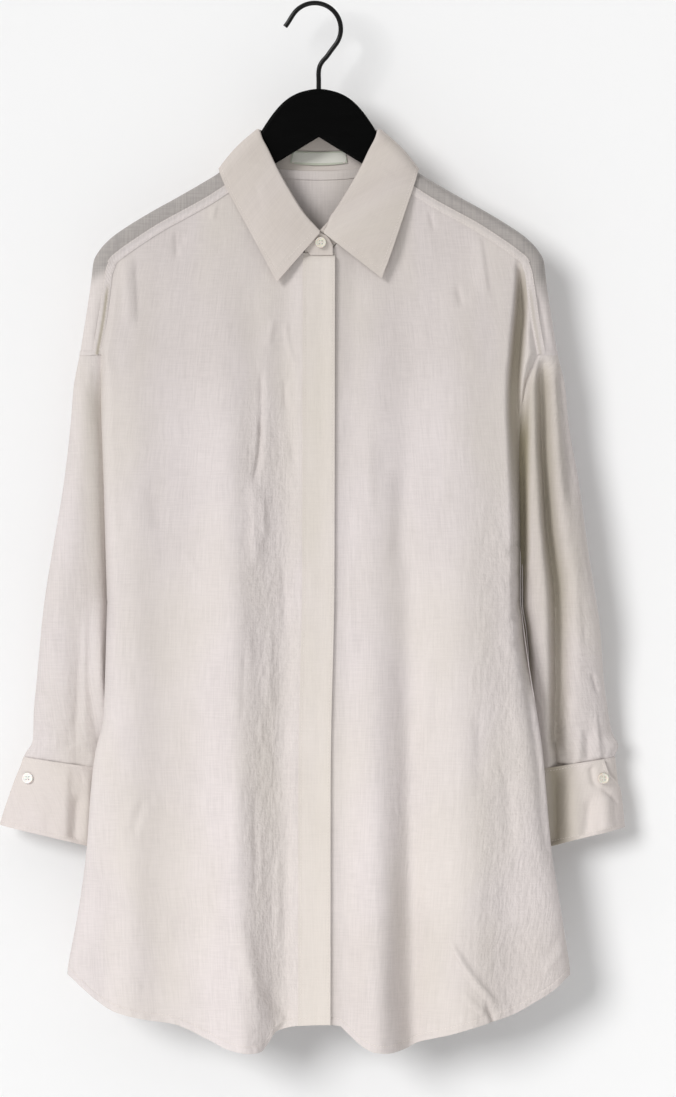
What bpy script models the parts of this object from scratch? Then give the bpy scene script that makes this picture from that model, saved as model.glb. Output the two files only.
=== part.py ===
"""A long linen blouse hanging on a flat clothes hanger, as a Blender model.

Metres, +Z up, the front faces -Y. The origin is the point of the hook that bears on a rail, and everything
hangs below it. "Right" and "left" are the wearer's, so the right front is on the -X side.
The tables are in millimetres, with x measured outward from the middle of the blouse, on either side of it.
Each cloth panel is a grid of points on its middle surface, which Solidify turns into a wall with a closed rim.
"""

import math

import bmesh
import bpy
import numpy as np
from mathutils import Matrix, Vector

MM = 0.001
RIGHT, LEFT = -1, 1
FRONT, BACK = -1, 1

# Driving sizes, in millimetres.
CENTRE_X = 3.8  # the middle of the blouse, right of the hook's bearing point
CLOTH = 1.2  # wall of single cloth
DOUBLED = 1.6  # wall of doubled cloth: collar, stand, cuffs, placket
SEAM = 0.25  # each panel stops this far short of its seam line
LIFT = (CLOTH + DOUBLED) / 2 + 0.4  # from a panel's middle to that of a doubled piece lying on it
CAP_Z = -335.5  # the seam of the dropped shoulder, where the sleeve starts
UNDERARM_Z = -572.0
CUFF_SEAM_Z = -722.0  # at the sleeve's outer edge
CUFF_SEAM_SLANT = 13.0  # the cuff's seam falls this much towards the body
HEM_SIDE_Z = -921.0  # the hem at the side seams
NECK_X, NECK_BACK_Y, NECK_BACK_Z = 76.0, 11.0, -160.0  # half the neck on the shoulder, and its back's middle
PLACKET_WIDTH = 29.8
NECK_FRONT_Z = -241.0
UNDER_LAP = 12.5  # the left front runs this far past the placket's middle, under it
STAND_LAP = 13.6  # the stand's right end laps this far over the left one
BUTTON_RADIUS, BUTTON_HEIGHT = 5.1, 2.2
COLLAR_BUTTON = (2.0, -228.4)
CUFF_BUTTON = {RIGHT: (277.7, -743.1), LEFT: (271.9, -742.3)}
LABEL_WALL = 0.8
LABEL_STATIONS, LABEL_SHARES = (7.08, 7.3, 7.55, 7.8, 8.0), (0.2, 0.37, 0.54)  # where it lies on the stand
HANGER_THICK, HANGER_EDGE = 12.0, 3.5
WIRE_RADIUS, HOOK_RADIUS = 2.3, 25.0  # the hook's radius runs to the middle of the wire
WIRE_SOCKET = 15.0  # how deep the wire goes into the hanger


def table(columns, *rows):
    """Named columns, so that each row reads as one station, section or fold."""
    return dict(zip(columns.split(), np.array(rows, float).T))


# The shoulder line from the neck over the hanger's end to the sleeve, with the yoke's two seams beside it.
# "round" is how far from the ridge the cloth is still turning, and "half" its half depth there.
SHOULDER = table(
    "ridge_x ridge_z front_x front_z back_x back_z round half",
    (76.0, -143.8, 66.0, -165.5, 76.0, -246.0, 7, 8.2),
    (95.2, -160.7, 87.5, -180.5, 95.0, -246.4, 7, 8.2),
    (113.2, -171.9, 105.0, -191.8, 113.0, -246.8, 7, 8.2),
    (136.2, -185.1, 127.0, -204.0, 136.0, -247.3, 7, 8.2),
    (157.7, -197.0, 149.0, -216.0, 157.0, -247.8, 7, 8.2),
    (179.6, -210.1, 170.0, -229.5, 177.0, -248.3, 7, 8.2),
    (198.8, -223.4, 187.0, -241.5, 190.0, -248.6, 8, 8.2),
    (209.9, -235.1, 195.0, -248.5, 196.0, -250.0, 10, 8.3),
    (215.7, -246.0, 199.0, -258.0, 199.5, -262.0, 12, 8.4),
    (218.2, -266.2, 201.0, -273.0, 202.0, -278.0, 14, 8.6),
    (222.8, -297.2, 204.5, -300.0, 205.5, -304.0, 17, 9.0),
    (228.9, -335.5, 211.0, -335.5, 211.0, -335.5, 17.9, 9.6),
)
YOKE_CORNER = 7  # the row where the yoke's seams turn down beside the hanger's end

# The arm's sections: how far out it reaches, where its inner edge is, the middle of its depth and half of it,
# and how far round the section the armhole has moved (90 is halfway, 180 is the underarm).
ARM = {
    RIGHT: table(
        "z outer edge middle half turn",
        (-335.5, 228.9, 211.0, 0.0, 9.6, 90),
        (-365.0, 234.6, 211.0, 0.5, 11.5, 128),
        (-400.0, 237.6, 210.0, 2.0, 13.5, 146),
        (-455.0, 244.0, 208.0, 4.5, 16.0, 156),
        (-530.0, 256.4, 206.0, 7.0, 17.0, 168),
        (-572.0, 263.2, 205.0, 8.5, 16.5, 179.0),
        (-600.0, 266.5, 206.0, 12.5, 17.0, 179.2),
        (-640.0, 270.4, 205.5, 20.0, 18.0, 179.2),
        (-684.0, 274.7, 200.0, 28.0, 18.0, 179.2),
        (-706.0, 275.2, 196.0, 30.5, 17.5, 179.2),
        (-722.0, 284.0, 194.0, 31.0, 16.5, 179.2),
        (-736.0, 287.5, 194.0, 31.0, 16.5, 179.2),
    ),
    LEFT: table(
        "z outer edge middle half turn",
        (-335.5, 228.9, 211.0, 0.0, 9.6, 90),
        (-365.0, 236.2, 200.0, 1.5, 13.0, 128),
        (-400.0, 239.6, 196.8, 3.0, 15.5, 146),
        (-455.0, 249.4, 196.0, 5.5, 17.5, 156),
        (-530.0, 259.6, 195.8, 8.0, 18.0, 168),
        (-572.0, 266.5, 195.6, 9.0, 17.0, 179.0),
        (-600.0, 270.4, 199.5, 13.5, 17.5, 179.2),
        (-640.0, 273.4, 202.5, 22.0, 19.0, 179.2),
        (-684.0, 279.0, 202.5, 29.5, 19.0, 179.2),
        (-704.0, 284.0, 202.0, 32.0, 18.0, 179.2),
        (-722.0, 285.0, 203.0, 32.0, 16.5, 179.2),
        (-736.0, 286.0, 203.0, 32.0, 16.5, 179.2),
    ),
}
# The long soft troughs of each sleeve, from top to bottom, with their half width and depth.
SLEEVE_FOLDS = {
    (RIGHT, FRONT): table(
        "z x width depth", (-440, 224, 9, 0), (-620, 233, 9, 5), (-700, 233, 8, 6), (-736, 233, 7, 4)
    ),
    (LEFT, FRONT): table(
        "z x width depth",
        (-345, 214, 7, 0), (-417, 217, 8, 6), (-532, 222, 9, 9), (-647, 229, 9, 10), (-736, 236, 7, 5),
    ),
    (RIGHT, BACK): table(
        "z x width depth", (-400, 224, 10, 0), (-560, 235, 12, 5), (-650, 240, 12, 6), (-736, 240, 9, 3)
    ),
    (LEFT, BACK): table(
        "z x width depth", (-400, 226, 10, 0), (-560, 236, 12, 5), (-650, 242, 12, 6), (-736, 242, 9, 3)
    ),
}
# The cuffs: top and bottom at the outer edge, and the same where they turn behind the body.
CUFF = {
    RIGHT: table(
        "z slant outer edge middle half", (-722, 13, 284.0, 194, 31, 16.5), (-787.5, 26, 305.5, 198, 31, 20)
    ),
    LEFT: table(
        "z slant outer edge middle half", (-722, 13, 285.0, 203, 32, 16.5), (-790.0, 22, 292.5, 206, 32, 20)
    ),
}
# Where the cuff's ends lie, in degrees round it from its outer edge, negative in front. The left one slants.
CUFF_ENDS = {
    RIGHT: table("share over under", (0, -64, -22), (1, -64, -22)),
    LEFT: table("share over under", (0, -64, -12), (1, -44, -12)),
}

# The body's side seams below the arms, and how wide the front and the back turn towards them.
SIDE = {
    RIGHT: table(
        "z edge depth front_roll back_roll",
        (-572, 203.2, 8.5, 12, 14),
        (-600, 203.6, 1.0, 14, 24),
        (-640, 204.4, -6.0, 16, 34),
        (-686, 206.5, -9.0, 18, 40),
        (-718, 214.0, -10.0, 20, 44),
        (-753, 218.1, -10.0, 22, 48),
        (-808, 222.0, -10.0, 24, 52),
        (-859, 228.5, -10.0, 26, 54),
        (-921, 240.0, -9.0, 26, 54),
    ),
    LEFT: table(
        "z edge depth front_roll back_roll",
        (-572, 193.8, 9.0, 12, 14),
        (-600, 197.0, 1.0, 16, 24),
        (-640, 202.5, -6.0, 20, 34),
        (-686, 210.0, -9.0, 24, 40),
        (-718, 214.5, -10.0, 26, 44),
        (-753, 217.6, -10.0, 28, 48),
        (-808, 222.5, -10.0, 30, 52),
        (-859, 230.5, -10.0, 32, 54),
        (-921, 240.3, -9.0, 32, 54),
    ),
}
# The depth of the plain front and back, before their folds.
DEPTH = table(
    "z front back",
    (-150, 8.2, 8.2),
    (-210, 8.6, 8.6),
    (-260, 10.0, 9.2),
    (-350, 15.0, 11.0),
    (-450, 18.0, 13.0),
    (-600, 21.0, 15.0),
    (-800, 24.0, 17.0),
    (-1005, 26.0, 19.0),
)
# The long folds, as soft ridges: x near the yoke and at the hem, half width, and height at three levels.
LEVELS = (-1000, -600, -400, -240)
FRONT_FOLDS = table(
    "high_x low_x width hem middle chest top",
    (-176, -180, 22, 8, 6, 3, 0),
    (-86, -70, 29, 25, 15, 9, 1),
    (-49, -49, 10, 0, 1, 2, 0),
    (50, 56, 24, 23, 9, 4, 0),
    (83, 88, 12, -11, -3, -1, 0),
    (130, 140, 36, 18, 12, 8, 0.5),
)
LEFT_GROOVE = table("z depth", (-252, 0), (-275, 5), (-345, 7), (-385, 0))
LEFT_GROOVE_X, LEFT_GROOVE_WIDTH = 192.5, 6.5
BACK_FOLDS = table(
    "high_x low_x width hem middle chest top",
    (-128, -138, 32, 12, 8, 4, 0),
    (-42, -44, 27, 15, 9, 4, 0.5),
    (48, 44, 28, 16, 9, 4, 0.5),
    (124, 136, 32, 12, 8, 4, 0),
)
# The neckline and the front yoke seam together are the top edge of each front.
FRONT_TOP = table(
    "x z",
    (-20, -241),
    (8, -241),
    (22.5, -222.1),
    (37, -203.2),
    (51.5, -184.4),
    (66, -165.5),
    (87.5, -180.5),
    (105, -191.8),
    (127, -204),
    (149, -216),
    (170, -229.5),
    (187, -241.5),
    (195, -248.5),
)
# The hem's line as it falls across the folds, from the wearer's right to the left.
HEM = table(
    "x z",
    (-240.3, -921),
    (-227, -939),
    (-212, -953),
    (-196, -964),
    (-166, -972),
    (-140, -976),
    (-105, -991),
    (-82, -1001),
    (-66, -1003.5),
    (-50, -996),
    (-38, -983),
    (-24, -977),
    (14, -977),
    (24, -982),
    (36, -996),
    (50, -1002),
    (65, -1003.5),
    (82, -1000),
    (97, -993),
    (125, -986),
    (157, -977),
    (187, -968),
    (206, -958),
    (224, -946),
    (240.3, -921),
)
BACK_HEM = table("x z", (0, -999), (80, -992), (140, -972), (190, -950), (224, -936), (240.3, -921))
# The placket's middle drifts towards the right front as it falls. It keeps flat between the folds beside it.
PLACKET = table("z x depth", (-240, 0.7, 3.5), (-550, 0.2, 3), (-740, -3.4, 3), (-1010, -3.6, 4))
PLACKET_FLAT = (13.0, 36.0)

# The collar, from the stand's front end (-1) past the leaf's front edge (0) over the shoulder (5) to the
# middle of the back (8): the neckline's x, and the roll line that tops the stand.
COLLAR = table(
    "at neck roll_x roll_y roll_z",
    (-1.0, -13.6, -13.2, -14.0, -231.0),
    (-0.5, -8.0, -8.5, -14.4, -223.0),
    (0.0, 2.0, -1.0, -15.0, -218.5),
    (0.3, 8.0, 3.5, -15.0, -214.0),
    (1.0, 22.0, 13.5, -14.6, -202.5),
    (2.0, 39.0, 30.5, -12.6, -176.0),
    (3.0, 56.0, 42.5, -10.4, -154.5),
    (3.6, 66.0, 49.5, -8.9, -140.0),
    (4.3, 66.0, 55.8, -8.0, -127.5),
    (4.7, 66.0, 57.2, -4.6, -122.0),
    (5.0, 76.0, 57.4, 0.0, -121.2),
    (5.3, 76.0, 57.0, 5.0, -121.2),
    (5.7, 76.0, 53.0, 9.6, -121.5),
    (6.4, 55.0, 38.0, 13.6, -122.5),
    (8.0, 0.0, 0.0, 16.5, -124.0),
)
# The leaf's outer edge, and how far it stands off there.
LEAF_EDGE = {
    RIGHT: table(
        "at x y z",
        (0.0, 40.0, -16.6, -266.0),
        (1.0, 56.5, -16.0, -235.0),
        (2.0, 71.8, -12.8, -206.5),
        (3.0, 83.0, -11.6, -186.0),
        (4.0, 90.7, -10.8, -171.5),
        (4.3, 92.8, -10.5, -166.5),
        (4.65, 94.8, -8.4, -160.6),
        (5.0, 95.8, -0.5, -157.0),
        (5.3, 95.0, 8.4, -159.5),
        (5.7, 92.0, 10.6, -165.0),
        (6.2, 84.0, 11.2, -169.0),
        (7.0, 52.0, 13.6, -172.0),
        (8.0, 0.0, 14.6, -172.5),
    ),
    LEFT: table(
        "at x y z",
        (0.0, 60.4, -15.8, -262.5),
        (1.0, 69.5, -15.2, -238.0),
        (2.0, 78.0, -12.8, -213.0),
        (3.0, 85.5, -11.6, -190.5),
        (4.0, 91.5, -10.8, -172.5),
        (4.3, 93.2, -10.5, -167.0),
        (4.65, 94.9, -8.4, -160.7),
        (5.0, 95.8, -0.5, -157.0),
        (5.3, 95.0, 8.4, -159.5),
        (5.7, 92.0, 10.6, -165.0),
        (6.2, 84.0, 11.2, -169.0),
        (7.0, 52.0, 13.6, -172.0),
        (8.0, 0.0, 14.6, -172.5),
    ),
}
LEAF_END = {RIGHT: -0.8, LEFT: 5.2}  # where the two ends of the roll line meet in front
# The hanger's outline on one side, from the top of its middle round the drooping end to the underside.
HANGER = table(
    "x z",
    (0, -80.3),
    (12.9, -82.1),
    (22, -85.2),
    (31.2, -90.3),
    (40.4, -99.5),
    (49.5, -112.3),
    (57, -124.6),
    (63, -132.8),
    (70, -140.8),
    (78, -148.4),
    (94.5, -162.6),
    (112.4, -173.8),
    (135.2, -187),
    (156.7, -199),
    (178.4, -212.2),
    (196.8, -225),
    (206.3, -235.6),
    (210.2, -247),
    (210, -258),
    (205.5, -266.5),
    (199, -266),
    (194.5, -254),
    (189, -243.6),
)
HANGER_APEX_Z = -126.4


def along(where, knots, values):
    """A smooth curve through the knots that never overshoots them (a monotone cubic)."""
    order = np.argsort(knots)
    x, y = np.asarray(knots, float)[order], np.asarray(values, float)[order]
    step = np.diff(x)
    rise = np.diff(y) / step
    slope = np.concatenate(([rise[0]], np.zeros(len(x) - 2), [rise[-1]]))
    for i in range(1, len(x) - 1):
        if rise[i - 1] * rise[i] > 0:
            before, after = 2 * step[i] + step[i - 1], step[i] + 2 * step[i - 1]
            slope[i] = (before + after) / (before / rise[i - 1] + after / rise[i])
    where = min(max(where, x[0]), x[-1])
    i = min(max(int(np.searchsorted(x, where, side="right")) - 1, 0), len(x) - 2)
    t = (where - x[i]) / step[i]
    start = y[i] * (1 + 2 * t) + slope[i] * step[i] * t
    end = y[i + 1] * (3 - 2 * t) - slope[i + 1] * step[i] * (1 - t)
    return float(start * (1 - t) ** 2 + end * t * t)


def read(rows, column, where, key="z"):
    return along(where, rows[key], rows[column])


def ramp(value, low, high):
    """0 at low, 1 at high, easing at both ends."""
    t = min(1.0, max(0.0, (value - low) / (high - low)))
    return t * t * (3 - 2 * t)


def blend(a, b, t):
    return a + (b - a) * t


# ---- Surfaces --------------------------------------------------------------------------------------------


def folded_depth(plain, folds, x, z):
    """How far the plain cloth and its long folds stand out at a signed x."""
    out = 0.0
    down = min(1.0, max(0.0, (LEVELS[-1] - z) / (LEVELS[-1] - LEVELS[0])))
    for i in range(len(folds["width"])):
        middle = blend(folds["high_x"][i], folds["low_x"][i], down)
        away = (x - middle) / folds["width"][i]
        heights = [folds[level][i] for level in ("hem", "middle", "chest", "top")]
        out += along(z, LEVELS, heights) * math.exp(-away * away)
    if plain == "front":
        out = blend(read(PLACKET, "depth", z), out, ramp(abs(x - read(PLACKET, "x", z)), *PLACKET_FLAT))
    return out + read(DEPTH, plain, z)


def arm_section(side, t, z):
    """A point of the arm at height z: t is -1 at the front armhole, 0 at the outer edge, 1 at the back one."""
    rows = ARM[side]
    turn = math.radians(read(rows, "turn", z))
    outer = read(rows, "outer", z)
    width = (outer - read(rows, "edge", z)) / (1 - math.cos(turn))
    x = outer - width * (1 - math.cos(t * turn))
    y = read(rows, "middle", z) + read(rows, "half", z) * math.sin(t * turn)
    end = FRONT if t < 0 else BACK
    folds = SLEEVE_FOLDS[side, end]
    away = (x - read(folds, "x", z)) / read(folds, "width", z)
    fade = math.sin(min(1.0, (1 - abs(t)) * 4) * math.pi / 2)
    return x, y - end * fade * read(folds, "depth", z) * math.exp(-away * away)


def panel_edge(side, end, z):
    """A body panel's outer edge at height z: x, y, how squarely the cloth turns into it, and how widely."""
    name = "front" if end == FRONT else "back"
    seam_x, seam_z = SHOULDER[name + "_x"][YOKE_CORNER:], SHOULDER[name + "_z"][YOKE_CORNER:]
    if z >= CAP_Z:
        return along(z, seam_z, seam_x), end * along(z, seam_z, SHOULDER["half"][YOKE_CORNER:]), 0.0, 9.0
    if z >= UNDERARM_Z:
        x, y = arm_section(side, end, z)
        turned = ramp(z, CAP_Z, CAP_Z - 25)
        inward = blend(2 * SEAM, CLOTH + 0.6, turned)
        return x - inward, y, turned, blend(9.0, 12.0 if end == FRONT else 14.0, turned)
    rows = SIDE[side]
    return read(rows, "edge", z), read(rows, "depth", z), 1.0, read(rows, name + "_roll", z)


def body_y(side, end, x, z):
    """The depth of the front or the back at x, measured outward on one side."""
    edge_x, edge_y, turned, roll = panel_edge(side, end, z)
    if end == FRONT:
        out = folded_depth("front", FRONT_FOLDS, side * x, z)
        if side == LEFT:
            away = (x - LEFT_GROOVE_X) / LEFT_GROOVE_WIDTH
            out -= read(LEFT_GROOVE, "depth", z) * math.exp(-away * away)
    else:
        out = folded_depth("back", BACK_FOLDS, side * x, z)
    q = min(1.0, max(0.0, (x - edge_x + roll) / roll))
    kept = blend(1 - q * q * (3 - 2 * q), math.sqrt(1 - q * q), turned)
    return edge_y + (end * out - edge_y) * kept


def placket_x(z):
    return read(PLACKET, "x", z)


def hem_z(end, x):
    """The hem's height at a signed x; the back's is even on both sides."""
    return along(x, HEM["x"], HEM["z"]) if end == FRONT else along(abs(x), BACK_HEM["x"], BACK_HEM["z"])


def top_z(end, x):
    """The top edge of a front or of the back."""
    if end == FRONT:
        return float(np.interp(x, FRONT_TOP["x"], FRONT_TOP["z"]))
    rows = slice(0, YOKE_CORNER + 1)
    return float(np.interp(x, SHOULDER["back_x"][rows], SHOULDER["back_z"][rows]))


# The heights of the rows at a panel's outer edge, which the front, the back and the sleeve share below the cap.
ARM_ROWS = (-335.5, -348, -365, -395, -435, -485, -535, -572, -590, -612, -640)
TOP_ROWS = (-257, -267, -282, -300, -318)
SKIRT_ROWS = (-680, -725, -775, -830, -880, HEM_SIDE_Z)
EDGE_TURNS = 5


def row_shares(corner_z):
    rows = (corner_z,) + TOP_ROWS + ARM_ROWS + SKIRT_ROWS
    return [(z - corner_z) / (HEM_SIDE_Z - corner_z) for z in rows]


ROWS = len(row_shares(0))


def panel_point(side, end, inner, column, row, shares):
    """A point of a body panel. Columns up to the last of shares cross its face, the rest turn into its edge."""

    def place(z):
        edge_x, _, _, roll = panel_edge(side, end, z)
        start = inner(z)
        face = edge_x - roll
        if column < len(shares):
            return start + (face - start) * shares[column]
        turn = (column - len(shares) + 1) / EDGE_TURNS * math.pi / 2
        return face + roll * math.sin(turn)

    corner_z = SHOULDER["front_z" if end == FRONT else "back_z"][YOKE_CORNER]
    top = top_z(end, place(corner_z)) - SEAM
    bottom = hem_z(end, side * place(HEM_SIDE_Z))
    z = blend(top, bottom, row_shares(corner_z)[row])
    x = place(z)
    y = body_y(side, end, x, z)
    last = column == len(shares) - 1 + EDGE_TURNS
    if last and z > CAP_Z:
        return x - SEAM, y, z
    if last and z < UNDERARM_Z:
        return x, y + end * SEAM, z
    return x, y, z


def front_points(side):
    """A front, from its edge at the placket to its side seam."""

    def inner(z):
        return PLACKET_WIDTH / 2 + 2 * SEAM - placket_x(z) if side == RIGHT else placket_x(z) - UNDER_LAP

    start = inner(NECK_FRONT_Z)
    width = SHOULDER["front_x"][YOKE_CORNER] - 9.0 - start
    shares = [0] + [(x - start) / width for x in FRONT_TOP["x"][1:6] if x > start]
    shares += [blend(shares[-1], 1, i / 9) for i in range(1, 10)]
    points = []
    for row in range(ROWS):
        line = []
        for column in range(len(shares) + EDGE_TURNS):
            x, y, z = panel_point(side, FRONT, inner, column, row, shares)
            if side == RIGHT:
                y -= LIFT * (1 - ramp(x - inner(z), 0.0, 14.0))
            line.append((side * x, y, z))
        points.append(line)
    return points


def back_points():
    """The back, between its two side seams."""
    shares = [i / 10 for i in range(11)]
    points = []
    for row in range(ROWS):
        halves = []
        for side in (RIGHT, LEFT):
            half = [panel_point(side, BACK, lambda z: 0.0, c, row, shares) for c in range(10 + EDGE_TURNS + 1)]
            halves.append([(side * x, y, z) for x, y, z in half])
        points.append(halves[0][:0:-1] + halves[1])
    return points


def placket_points():
    """The concealed placket, moved out from the front that it lies on."""
    points = []
    for share in row_shares(NECK_FRONT_Z):
        line = []
        for across in (-0.5, -0.17, 0.17, 0.5):
            x = placket_x(blend(NECK_FRONT_Z, -977, share)) + across * PLACKET_WIDTH
            z = blend(NECK_FRONT_Z - 2 * SEAM, hem_z(FRONT, x), share)
            line.append((x, body_y(LEFT, FRONT, x, z) - LIFT, z))
        points.append(line)
    return points


def yoke_point(side, station, place):
    """A point of the yoke: place is -2 at the front seam, 0 on the shoulder line and 2 at the back seam."""
    rows = {name: along(station, range(len(values)), values) for name, values in SHOULDER.items()}
    name, end = ("front", FRONT) if place < 0 else ("back", BACK)
    seam_x = rows[name + "_x"] + SEAM
    seam_z = rows[name + "_z"] + SEAM
    run_x, run_z = seam_x - rows["ridge_x"], seam_z - rows["ridge_z"]
    length = math.hypot(run_x, run_z)
    near = min(rows["round"], 0.6 * length)
    step = abs(place)
    gone = near * (1 - math.cos(step * math.pi / 2)) if step <= 1 else blend(near, length, step - 1)
    at_seam = abs(body_y(side, end, seam_x, seam_z))
    left = max(0.0, 1 - gone / min(rows["round"], length))
    y = blend(rows["half"], at_seam, gone / length) * math.sqrt(1 - left * left)
    return rows["ridge_x"] + run_x * gone / length, end * y, rows["ridge_z"] + run_z * gone / length


YOKE_PLACES = (-2, -1.5, -1, -0.6, -0.28, 0, 0.28, 0.6, 1, 1.2, 1.45, 1.72, 2)
NECK_STEPS = 4


def yoke_neck_point(share, place):
    """A point of the yoke behind the neck, at a signed share of its half width, from place 1 on the neckline."""
    x = NECK_X * share
    neck_z = blend(NECK_BACK_Z, yoke_point(LEFT, 0, 1)[2], share * share)
    neck_y = blend(NECK_BACK_Y, SHOULDER["half"][0], share * share)
    seam_z = SHOULDER["back_z"][0] + SEAM
    z = blend(neck_z, seam_z, place - 1)
    return x, blend(neck_y, folded_depth("back", BACK_FOLDS, x, seam_z), place - 1), z


def yoke_points():
    stations = range(len(SHOULDER["round"]))
    points = []
    for place in YOKE_PLACES:
        right = [yoke_point(RIGHT, station, place) for station in stations]
        left = [yoke_point(LEFT, station, place) for station in stations]
        neck = [yoke_neck_point(i / NECK_STEPS, max(place, 1)) for i in range(1 - NECK_STEPS, NECK_STEPS)]
        points.append([(-x, y, z) for x, y, z in right[::-1]] + neck + left)
    return points


def yoke_cell(row, column):
    """True where the yoke has cloth: the neck is open in front of its back neckline."""
    first = len(SHOULDER["round"]) - 1
    inside = first <= column < first + 2 * NECK_STEPS
    return not inside or YOKE_PLACES[row] >= 1


def sleeve_points(side):
    points = []
    turns = 24
    for level in ARM_ROWS + (-665, -690, -708, CUFF_SEAM_Z):
        line = []
        for j in range(turns + 1):
            t = -1 + 2 * j / turns
            z = level - CUFF_SEAM_SLANT * ramp(level, -640, CUFF_SEAM_Z) * (1 - math.cos(t * math.pi)) / 2
            z += SEAM if level == CUFF_SEAM_Z else -SEAM if level == CAP_Z else 0
            x, y = arm_section(side, t, z)
            line.append((side * x, y, z))
        points.append(line)
    return points


CUFF_LAYER = DOUBLED + 0.7


def cuff_point(side, degrees, share, out=0.0):
    """A point of the cuff's ring, degrees round from its outer edge (negative in front), pushed out by out."""
    rows = {name: blend(values[0], values[1], share) for name, values in CUFF[side].items()}
    angle = math.radians(degrees)
    wide = (rows["outer"] - rows["edge"]) / 2
    x = rows["outer"] - wide * (1 - math.cos(angle)) + out * math.cos(angle)
    y = rows["middle"] + (rows["half"] + out) * math.sin(angle)
    z = rows["z"] - rows["slant"] * (1 - math.cos(angle)) / 2 - (SEAM if share == 0 else 0)
    return x, y, z


def cuff_points(side):
    """The cuff runs from its outer end in front, back round the arm, to its end under the outer one."""
    points = []
    for share in (0.0, 0.25, 0.5, 0.75, 1.0):
        over = read(CUFF_ENDS[side], "over", share, "share")
        under = read(CUFF_ENDS[side], "under", share, "share") + 360
        line = []
        turns = [blend(over, 36, j / 9) for j in range(9)] + [blend(36, under, j / 27) for j in range(28)]
        for degrees in turns:
            out = CUFF_LAYER * (1 - ramp(degrees, 36, 85))
            x, y, z = cuff_point(side, degrees, share, out)
            line.append((side * x, y, z))
        points.append(line)
    return points


def neck_point(side, at):
    """The neckline, from the stand's front end to the middle of the back."""
    if at <= 3.6:
        x = read(COLLAR, "neck", at, "at")
        z = top_z(FRONT, x)
        return np.array((x, body_y(side, FRONT, x, z), z))
    if at <= 5.6:
        return np.array(yoke_point(side, 0, blend(-2, 1, (at - 3.6) / 2.0)))
    return np.array(yoke_neck_point((8 - at) / 2.4, 1))


def roll_point(at):
    return np.array([read(COLLAR, "roll_" + axis, at, "at") for axis in "xyz"])


def stand_frame(side, at):
    """Where the roll line is, which way the stand rises to it, and which way is outward there."""
    roll = roll_point(at)
    rise = roll - neck_point(side, at)
    rise /= np.linalg.norm(rise)
    ahead = roll_point(min(at + 0.1, 8.0)) - roll_point(max(at - 0.1, -1.0))
    out = np.cross(ahead, rise) if at > 0.5 else np.array((0.0, -1.0, 0.0))
    return roll, rise, out / np.linalg.norm(out)


STAND_GAP = 0.8


def lap_shift(at):
    """How far the stand's two ends stand apart from their common surface where they pass each other in front."""
    return (DOUBLED / 2 + 0.6) * (1 - ramp(at, 1.0, 2.2))


def stand_point(side, at, share, outward=0.0):
    """A point of the stand, from its seam at share 0 to the roll line at 1, moved outward."""
    neck, (roll, rise, out) = neck_point(side, at), stand_frame(side, at)
    low = neck + rise * STAND_GAP
    if side == RIGHT:
        low = low + np.array((0, -LIFT / 2, 0)) * (1 - ramp(at, 1.0, 2.2))
    x, y, z = blend(low, roll, share) + out * (outward + 0.8 * math.sin(share * math.pi))
    return side * x, y, z


def stand_points(side_stations):
    """The stand's right end passes outside the left one."""
    return [
        [stand_point(side, at, share, lap_shift(at) * (1 if side == RIGHT else -1)) for side, at in side_stations]
        for share in (0.0, 0.5, 1.0)
    ]


# The leaf's first rows fold over the stand's top edge: out from it and up from it, in millimetres.
LEAF_FOLD = ((0.0, 1.3), (1.9, 1.1), (2.9, -1.2))
LEAF_ROWS = 5


def leaf_points(side_stations):
    points = [[] for _ in range(len(LEAF_FOLD) + LEAF_ROWS)]
    for side, at in side_stations:
        roll, rise, out = stand_frame(side, at)
        roll[0] += (LEAF_END[side] - roll_point(0)[0]) * (1 - ramp(at, 0, 1))
        extra = lap_shift(at) if side == RIGHT else 0.0
        edge = np.array([read(LEAF_EDGE[side], axis, at, "at") for axis in "xyz"])
        start = roll + out * (LEAF_FOLD[-1][0] + extra) + rise * LEAF_FOLD[-1][1]
        line = [roll + out * (a + extra) + rise * b for a, b in LEAF_FOLD]
        for k in range(1, LEAF_ROWS + 1):
            share = k / LEAF_ROWS
            line.append(blend(start, edge, share) + out * 2.0 * math.sin(share * math.pi))
        for row, (x, y, z) in zip(points, line):
            row.append((side * x, y, z))
    return points


def collar_stations(lap):
    """Stations from the right front round the back to the left front, starting with those of the lap."""
    half = list(lap) + [0.0, 0.3, 0.6, 1.0, 1.4, 1.8, 2.25, 2.7, 3.15, 3.6, 4.0, 4.35, 4.7, 5.0, 5.3, 5.7, 6.4, 7.2]
    return [(RIGHT, at) for at in half] + [(RIGHT, 8.0)] + [(LEFT, at) for at in half[::-1]]


# ---- Pieces ----------------------------------------------------------------------------------------------

LINEN = (0.80, 0.76, 0.74)
HORN = (0.84, 0.81, 0.74)
BLACK = (0.012, 0.012, 0.012)


def clear_scene():
    for piece in list(bpy.data.objects):
        bpy.data.objects.remove(piece, do_unlink=True)


def finish(name, mesh, colour, roughness=0.9, metallic=0.0):
    """An object of this name with its own material."""
    piece = bpy.data.objects.new(name, mesh)
    bpy.context.scene.collection.objects.link(piece)
    material = bpy.data.materials.new(name)
    material.use_nodes = True
    shader = material.node_tree.nodes["Principled BSDF"]
    shader.inputs["Base Color"].default_value = (*colour, 1)
    shader.inputs["Roughness"].default_value = roughness
    shader.inputs["Metallic"].default_value = metallic
    mesh.materials.append(material)
    return piece


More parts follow.
